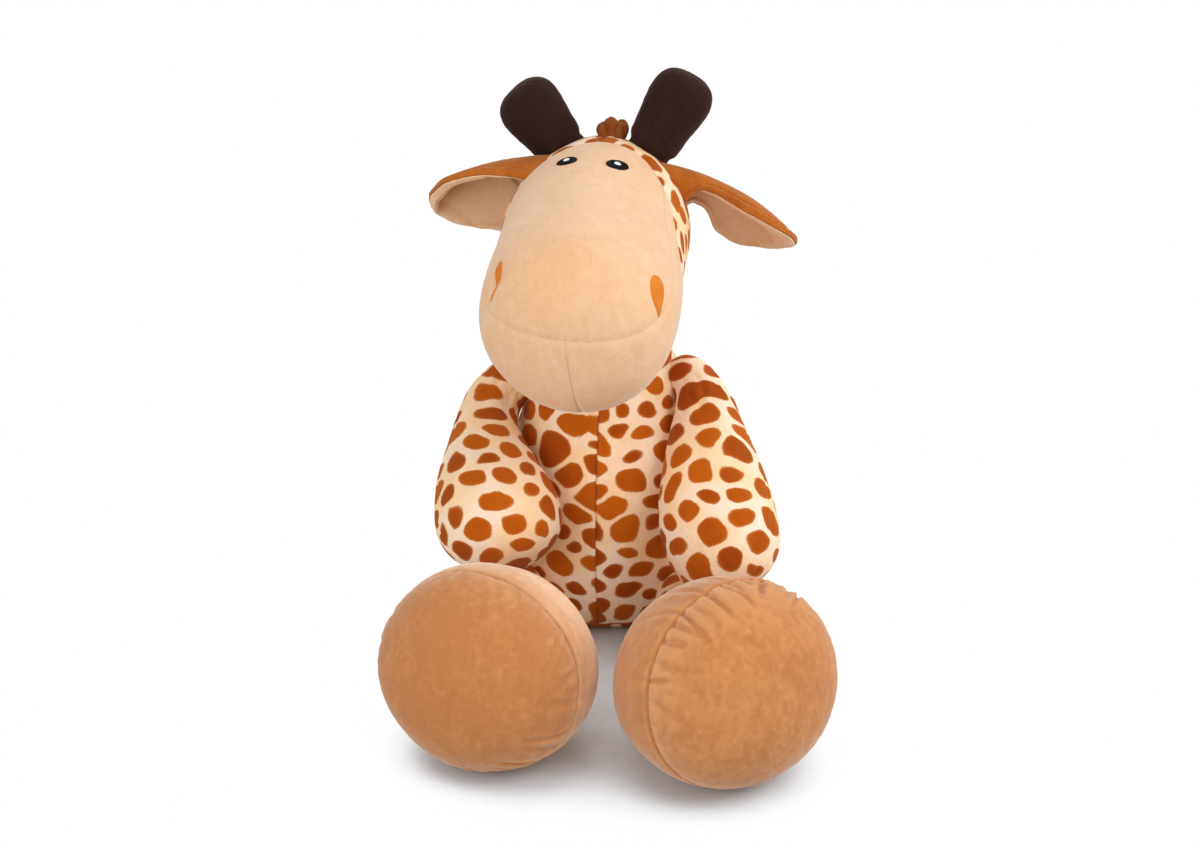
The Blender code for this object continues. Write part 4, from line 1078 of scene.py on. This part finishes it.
ears = {
    "lengths": {"left": 0.1245, "right": 0.1055},
    "width": 0.096,
    "curl": {"left": (108.0, 35.0), "right": (91.0, 42.0)},
    "wrap": {"left": (1.79, 0.19, 0.33), "right": (1.22, 0.00, 0.50)},  # how far the root is rolled up, and where it opens
    "bend": {"left": 43.0, "right": 38.0},
    "pose": {"left": (11.7, 143.9, 7.6), "right": (11.0, 133.8, 7.9)},
    "turnIn": {"left": 1.9, "right": -10.4},  # how far the leaf turns on itself towards its tip
    "root": 0.012,
    "leaf": {
        "left": [(0.00, 0.58), (0.18, 0.48), (0.38, 0.53), (0.62, 0.90), (0.84, 0.92), (1.00, 0.74)],
        "right": [(0.00, 0.83), (0.18, 0.85), (0.38, 0.96), (0.62, 1.03), (0.84, 0.84), (1.00, 0.66)],
    },
    "tip": {"left": 0.712, "right": 0.605},  # where the leaf's end starts to round
    "cloth": 0.0012,  # half the ear's thickness at its edge
    "puff": 0.0020,
    "rim": 0.0016,  # the rolled edge inside the stitched line
    "roll": 0.0042,  # how far the lining's upper part bulges over the fold
    "fold": {"left": (0.62, -0.30), "right": (0.58, 0.66)},  # where the fold lies across the leaf, at its root and tip
    "rootFold": {"left": 0.0, "right": 0.36},
    "shade": {"left": 0.38, "right": 1.25},  # painted shade: how dark the lining is made inside the fold
    "grid": (110, 90),
}


def smoothStep(place, stops):
    # The value between two stops, with no corner at them
    for (low, first), (high, second) in zip(stops, stops[1:]):
        if place <= high:
            share = (place - low) / (high - low)
            return first + (second - first) * share * share * (3 - 2 * share)
    return stops[-1][1]


def earPoint(side, along, across, lift):
    # A point on the leaf, lifted towards the inside of its curl
    leaf = ears["leaf"][side]
    share = smoothStep(along, leaf)
    rootCurl, tipCurl = (math.radians(angle) for angle in ears["curl"][side])
    curl = rootCurl + (tipCurl - rootCurl) * along
    radius = ears["width"] / 2 * share / curl
    begins = ears["tip"][side]
    tip = math.sqrt(max(0.0, 1 - max(0.0, (along - begins) / (1 - begins)) ** 2))
    wrap, closed, opened = ears["wrap"][side]
    rolled = min(1.0, max(0.0, (opened - along) / (opened - closed)))
    turn = across * curl * (0.15 + 0.85 * tip) * (1 + (wrap - 1) * rolled * rolled * (3 - 2 * rolled))
    inner = radius - lift
    back, rise = inner * math.sin(turn), radius - inner * math.cos(turn)
    twist = math.radians(ears["pose"][side][1] + ears["turnIn"][side] * along)
    bend = math.radians(ears["bend"][side])
    back, rise = back * math.cos(twist) - rise * math.sin(twist), back * math.sin(twist) + rise * math.cos(twist)
    length = ears["lengths"][side]
    out = length * along - ears["root"] * (1 - along)
    arc, bent = length / bend, bend * out / length
    reach, drop = arc * math.sin(bent), arc * (1 - math.cos(bent))
    return Vector((sides[side] * (reach + rise * math.sin(bent)), back, rise * math.cos(bent) - drop))


def earLayer(name, side, place, sign):
    # One closed layer of cloth, between the leaf's middle and its lining side or its outer side
    bm = bmesh.new()
    shade = bm.verts.layers.float.new("foldShade")
    across, along = ears["grid"][1], ears["grid"][0]
    sheets = []
    for level in (0, 1):
        rows = []
        for step in range(along + 1):
            length = step / along
            row = []
            for turn in range(across + 1):
                wide = turn / across * 2 - 1
                edge = min(1 - abs(wide), (1 - length) * 1.6)
                body = 1 - (1 - min(1.0, edge / 0.22)) ** 2
                lift = ears["cloth"] + ears["puff"] * body * (0.4 + 0.6 * length if sign > 0 else 1.0)
                lift += ears["rim"] * math.exp(-(((edge - 0.085) / 0.055) ** 2))
                lift -= ears["rim"] * 0.7 * math.exp(-(((edge - 0.200) / 0.030) ** 2))
                foldShade = 0.0
                if sign > 0:
                    first, second = ears["fold"][side]
                    off = wide - first - (second - first) * max(0.0, (length - 0.3) / 0.7) ** 0.8
                    above = 1 / (1 + math.exp(-off / 0.035))
                    # Painted shade: the lining darkens below the fold's rolled upper part, and in the tuck near the
                    # root
                    foldShade = (1 - above) * (0.35 + 0.65 * math.exp(-(((off + 0.08) / 0.34) ** 2))) * (1.15 - 0.5 * length)
                    lift += ears["roll"] * above * body * (1 - 0.45 * length)
                    if ears["rootFold"][side]:
                        tuck = math.exp(-(((length - ears["rootFold"][side] - 0.03 * wide) / 0.022) ** 2))
                        lift -= 0.0020 * tuck * body
                        foldShade = max(foldShade, tuck)
                    foldShade *= ears["shade"][side]
                lift = max(lift, 0.0008) if level else 0.00015
                row.append(bm.verts.new(place @ earPoint(side, length, wide, lift * sign)))
                row[-1][shade] = min(1.0, foldShade) * min(1.0, edge / 0.12)
            rows.append(row)
        sheets.append(rows)
    for level, rows in enumerate(sheets):
        for first, second in zip(rows, rows[1:]):
            for step in range(across):
                corners = (first[step], first[step + 1], second[step + 1], second[step])
                bm.faces.new(corners if level else corners[::-1])
    low, high = sheets
    rim = [(0, step) for step in range(across)] + [(step, across) for step in range(along)]
    rim += [(along, step) for step in range(across, 0, -1)] + [(step, 0) for step in range(along, 0, -1)]
    for (row, column), (nextRow, nextColumn) in zip(rim, rim[1:] + rim[:1]):
        bm.faces.new((low[row][column], low[nextRow][nextColumn], high[nextRow][nextColumn], high[row][column]))
    bmesh.ops.remove_doubles(bm, verts=bm.verts, dist=1e-6)
    bmesh.ops.recalc_face_normals(bm, faces=bm.faces)
    mesh = bpy.data.meshes.new(name)
    bm.to_mesh(mesh)
    bm.free()
    foldShade = np.empty(len(mesh.vertices), np.float32)
    mesh.attributes["foldShade"].data.foreach_get("value", foldShade)
    mesh.attributes.remove(mesh.attributes["foldShade"])
    return Skin(mesh), foldShade


def makeEars():
    for side, sign in sides.items():
        droop, _, sweep = (math.radians(angle) for angle in ears["pose"][side])
        place = (
            Matrix.Translation(jointPlace[side + "_ear_flap"])
            @ Matrix.Rotation(droop * sign, 4, "Y")
            @ Matrix.Rotation(sweep * sign, 4, "Z")
        )
        for name, facing, finish, node, slot in (
            ("EarLining", 1.0, "liningPlush", "_ear_lining", "cream_plush"),
            ("EarOuter", -1.0, "rustPlush", "_ear_outer", "rust_plush"),
        ):
            skin, foldShade = earLayer(side + name, side, place, facing)
            skin.pile(0.00015, 71)
            skin.settle()
            # The lining's painted fold shade is stored as its blush share, whose colour in liningPlush is dark
            if facing > 0:
                store(skin.mesh, "blushAndPaintedLight", foldShade)
            dress(link(side + name, skin.mesh), finish, side + "_ear", [side + node])
    print("ears made")


# Arms

arms = {
    "length": 0.190,
    "width": 0.096,
    "roots": {"left": (0.05414, 0.0, 0.22173), "right": (-0.05414, 0.0, 0.22173)},
    # x away from the body, y, z and width, as shares
    "rings": {
        "left": [
            (-0.08, 0.00, 0.00, None), (0.05, -0.01, 0.02, 0.42), (0.17, -0.15, -0.07, 0.47),
            (0.19, -0.33, -0.24, 0.77), (0.255, -0.52, -0.48, 1.08), (0.32, -0.62, -0.70, 0.92),
            (0.33, -0.66, -0.83, None),
        ],
        "right": [
            (-0.08, 0.00, 0.00, None), (0.06, -0.01, 0.01, 0.43), (0.24, -0.13, -0.12, 0.50),
            (0.24, -0.32, -0.27, 0.64), (0.14, -0.54, -0.46, 1.14), (0.08, -0.66, -0.63, 1.04),
            (0.05, -0.71, -0.78, None),
        ],
    },
}


def makeArms():
    for side, sign in sides.items():
        rings = arms["rings"][side]
        root = Vector(arms["roots"][side])
        spine = [root + Vector((sign * x, y, z)) * arms["length"] for x, y, z, _ in rings]
        halves = [(arms["width"] / 2 * width,) * 2 for _, _, _, width in rings[1:-1]]
        skin = loftForm(side + "Arm", spine, halves, 8, Vector((1, 0.3, 0)), 5)
        skin.lumps(0.040, 0.0014, 41 + sign)
        skin.settle()
        limb = aimed(root, root - spine[4], (1, 0, 0))
        edge = limb.to_3x3() @ Vector((0.35 * sign, 1, 0))
        down = limb.to_3x3() @ Vector((0, 0, 1))
        skin.creases(spine[2], down, 0.011, 0.0030, 0.045, 46 + int(sign))
        skin.creases(spine[2], down, 0.011, 0.0026, 0.030, 48 + int(sign), side=1)
        skin.settle()
        skin.seam(root, edge, depth=0.0012, pucker=0.0012, reach=0.011, spacing=0.009, seed=45)
        skin.pile(0.00018, 43)
        skin.settle()
        obj = link(side + "Arm", skin.mesh)
        printSpots(obj.data, 50 + int(sign), limb.to_3x3() @ Vector((0.3 * sign, 0, 1)), 1.08)
        start, end = root - Vector((sign * 0.004, 0, 0)), root + (spine[2] - root)
        dress(obj, "spottedPlush", ("body", side + "_arm", start, end),
              [side + "_arm_cover", side + "_arm_stuffing"], limb, (0.5 * sign, 0, 0))
    print("arms made")


# Legs and feet

legs = {
    "width": 0.070,
    "lift": 0.0012,
    "shares": (0.0, 0.04, 0.46, 0.88, 0.93),
    "hipSpacing": 0.148,
    "hipBack": 0.052,
    "splay": {"left": 12.4, "right": 6.1},
    "reach": {"left": 0.236, "right": 0.232},
}

feet = {
    "width": {"left": 0.174, "right": 0.173},
    "height": {"left": 0.158, "right": 0.158},
    "depth": {"left": 0.160, "right": 0.152},
    "turn": {"left": 46.0, "right": -19.0},
    "tilt": {"left": -12.0, "right": -6.0},
    "rings": [(0.08, 0.52), (0.28, 0.90), (0.54, 1.02), (0.78, 0.94), (0.95, 0.56)],
    "soleSeam": 0.62,
    "pale": {"left": 0.14, "right": 0.90},  # painted light: how pale the cover turns away from the sole, where the lamps light it
    "napAndPaintedShade": {"left": (0.0, -0.40), "right": (-0.42, 0.0)},  # sole and cover: painted shade, below 0 the colour turns to the pile's dark side on a foot's dim face
    "gathered": {"left": 0.75, "right": -0.55},  # more gathers at the seam's top, or at its bottom
    "slant": {"left": (-0.7, 0.2), "right": (-0.2, 0.7)},
    "sink": 0.0005,
}


def legDirection(side):
    angle = math.radians(legs["splay"][side])
    return Vector((math.sin(angle), -math.cos(angle), 0))


def makeFoot(side, sign, place):
    width, height, depth = feet["width"][side], feet["height"][side], feet["depth"][side]
    footPlace = Matrix.Translation(place + Vector((0, 0, height / 2)))
    footPlace = footPlace @ Matrix.Rotation(math.radians(feet["turn"][side]), 4, "Z")
    footPlace = footPlace @ Matrix.Rotation(math.radians(feet["tilt"][side]), 4, "X")
    spine = [Vector((0, depth / 2, 0))]
    spine += [Vector((0, depth * (0.5 - share), 0)) for share, _ in feet["rings"]]
    spine.append(Vector((0, -depth / 2, 0)))
    halves = [(width / 2 * share, height / 2 * share) for _, share in feet["rings"]]
    skin = loftForm(side + "Foot", spine, halves, 10, Vector((1, 0, 0)), 5, footPlace)
    drop = Vector((0, 0, -feet["sink"] - skin.points[:, 2].min()))
    skin.points = skin.points + np.array(drop)
    footPlace = Matrix.Translation(drop) @ footPlace
    skin.lumps(0.050, 0.0014, 61 + sign)
    skin.settle()
    point = footPlace @ Vector((0, depth * (0.5 - feet["soleSeam"]), 0))
    normal = footPlace.to_3x3() @ Vector((0, 1, 0))
    aside = (skin.points - np.array(footPlace.translation)) @ np.array(footPlace.to_3x3() @ Vector((0, 0, 1)))
    gathered = np.clip(0.35 + (feet["gathered"][side] * aside + 0.30 * np.abs(aside)) / 0.06, 0.15, 0.95)
    slant = feet["slant"][side]
    skin.creases(point, normal, 0.0125, 0.0052, 0.062, 63 + int(sign), width=0.0021, slant=slant, share=gathered)
    skin.creases(point, normal, 0.0080, 0.0014, 0.026, 73 + int(sign), width=0.0014, slant=slant, share=gathered)
    skin.settle()
    skin.seam(point, normal, depth=0.0019, width=0.0015, pucker=0.0012, reach=0.012, spacing=0.010, seed=63 + sign)
    skin.pile(0.00030, 64)
    skin.rest(0.0)
    skin.settle()
    folds, tree = foldDepth(skin.mesh), pointTree(skin.points)
    picks = {side + "Sole": lambda far: far["sole"] < 0, side + "FootCover": lambda far: far["sole"] > 0}
    made = cutPanels(skin, {"sole": (point, normal)}, picks)
    for name, obj in made.items():
        points = pointsOf(obj.data)
        away = np.abs((points - np.array(point)) @ np.array(normal))
        # The sole turns paler near its seam; the cover's paleness away from the seam is painted light on its
        # lamp-facing edge
        blushAndPaintedLight = 0.28 * np.exp(-away / 0.012)
        if name.endswith("Cover"):
            blushAndPaintedLight = feet["pale"][side] * np.clip(0.30 + away / 0.040, 0, 1)
        blushAndPaintedLight = blushAndPaintedLight * (0.85 + 0.20 * softNoise(points, 0.030, 66 + sign) + 0.10 * softNoise(points, 0.008, 68))
        store(obj.data, "blushAndPaintedLight", np.clip(blushAndPaintedLight, 0, 1))
        # Painted shade: darker down in the folds and the seam, plus a fixed darker tone on each foot's dim side
        depth = np.array([folds[tree.find(place)[1]] for place in points])
        store(obj.data, "napAndPaintedShade", feet["napAndPaintedShade"][side][name.endswith("Cover")] + np.clip(depth / 0.0007, -1.6, 0.9))
    dress(made[side + "Sole"], "tanPlush", side + "_leg", [side + "_sole_panel", side + "_foot_stuffing"])
    dress(made[side + "FootCover"], "tanPlush", side + "_leg", [side + "_foot_cover"],
          shift=(0.3, 0, 0))


def makeLegs():
    for side, sign in sides.items():
        direction = legDirection(side)
        hip = Vector((sign * legs["hipSpacing"] / 2, -legs["hipBack"], 0))
        lift = Vector((0, 0, legs["width"] / 2 + legs["lift"]))
        reach = legs["hipBack"] + legs["reach"][side]
        start = hip - direction * legs["hipBack"] + lift
        spine = [start + direction * (reach * share) for share in legs["shares"]]
        halves = [(legs["width"] / 2 * share,) * 2 for share in (0.80, 0.84, 0.96)]
        skin = loftForm(side + "Leg", spine, halves, 8, Vector((0, 0, 1)), 5)
        skin.lumps(0.035, 0.0012, 51 + sign)
        skin.rest(0.0012)
        skin.settle()
        obj = link(side + "Leg", skin.mesh)
        printSpots(obj.data, 55 + int(sign), direction)
        near, far = hip - direction * 0.01, hip + direction * 0.035
        dress(obj, "spottedPlush", ("body", side + "_leg", near, far),
              [side + "_leg_cover", side + "_leg_stuffing"], shift=(0.9 * sign, 0, 0))
        makeFoot(side, sign, hip + direction * legs["reach"][side])
    print("legs and feet made")


# Tail

tail = {"length": 0.105, "width": 0.013, "root": (0, 0.0784, 0.040), "tuftLength": 0.046, "tuftWidth": 0.026}


def makeTail():
    root = Vector(tail["root"])
    shares = (0.0, 0.05, 0.35, 0.65, 0.95, 1.0)
    end = Vector((0, root.y + tail["length"], tail["width"] / 2))
    spine = [(root - Vector((0, tail["width"], 0))).lerp(end, share) for share in shares]
    skin = loftForm("tailCord", spine, [(tail["width"] / 2,) * 2] * 4, 6, Vector((1, 0, 0)), 3)
    skin.rest(0.0)
    skin.settle()
    near, far = root - Vector((0, 0.004, 0)), root + Vector((0, 0.03, -0.01))
    printSpots(skin.mesh, 60, (0, 1, 0))
    dress(link("tailCord", skin.mesh), "spottedPlush", ("body", "tail", near, far), ["tail_cord"])
    start = end - Vector((0, tail["tuftLength"] / 4, 0))
    start.z = tail["tuftWidth"] / 2
    spine = [start.lerp(start + Vector((0, tail["tuftLength"], 0)), share) for share in shares]
    halves = [(tail["tuftWidth"] / 2 * share,) * 2 for share in (0.72, 1.00, 0.94, 0.55)]
    skin = loftForm("tailTuft", spine, halves, 6, Vector((1, 0, 0)), 3)
    skin.rest(0.0)
    skin.settle()
    dress(link("tailTuft", skin.mesh), "hairPlush", "tail", ["tail_tuft"])
    print("tail made")


makeStage()
makeMaterials()
torsoSkin = makeTorso()
makeNeck(torsoSkin)
headSkin = makeHead()
makeFace(headSkin)
makeHorns()
makeHair(headSkin)
makeEars()
makeArms()
makeLegs()
makeTail()
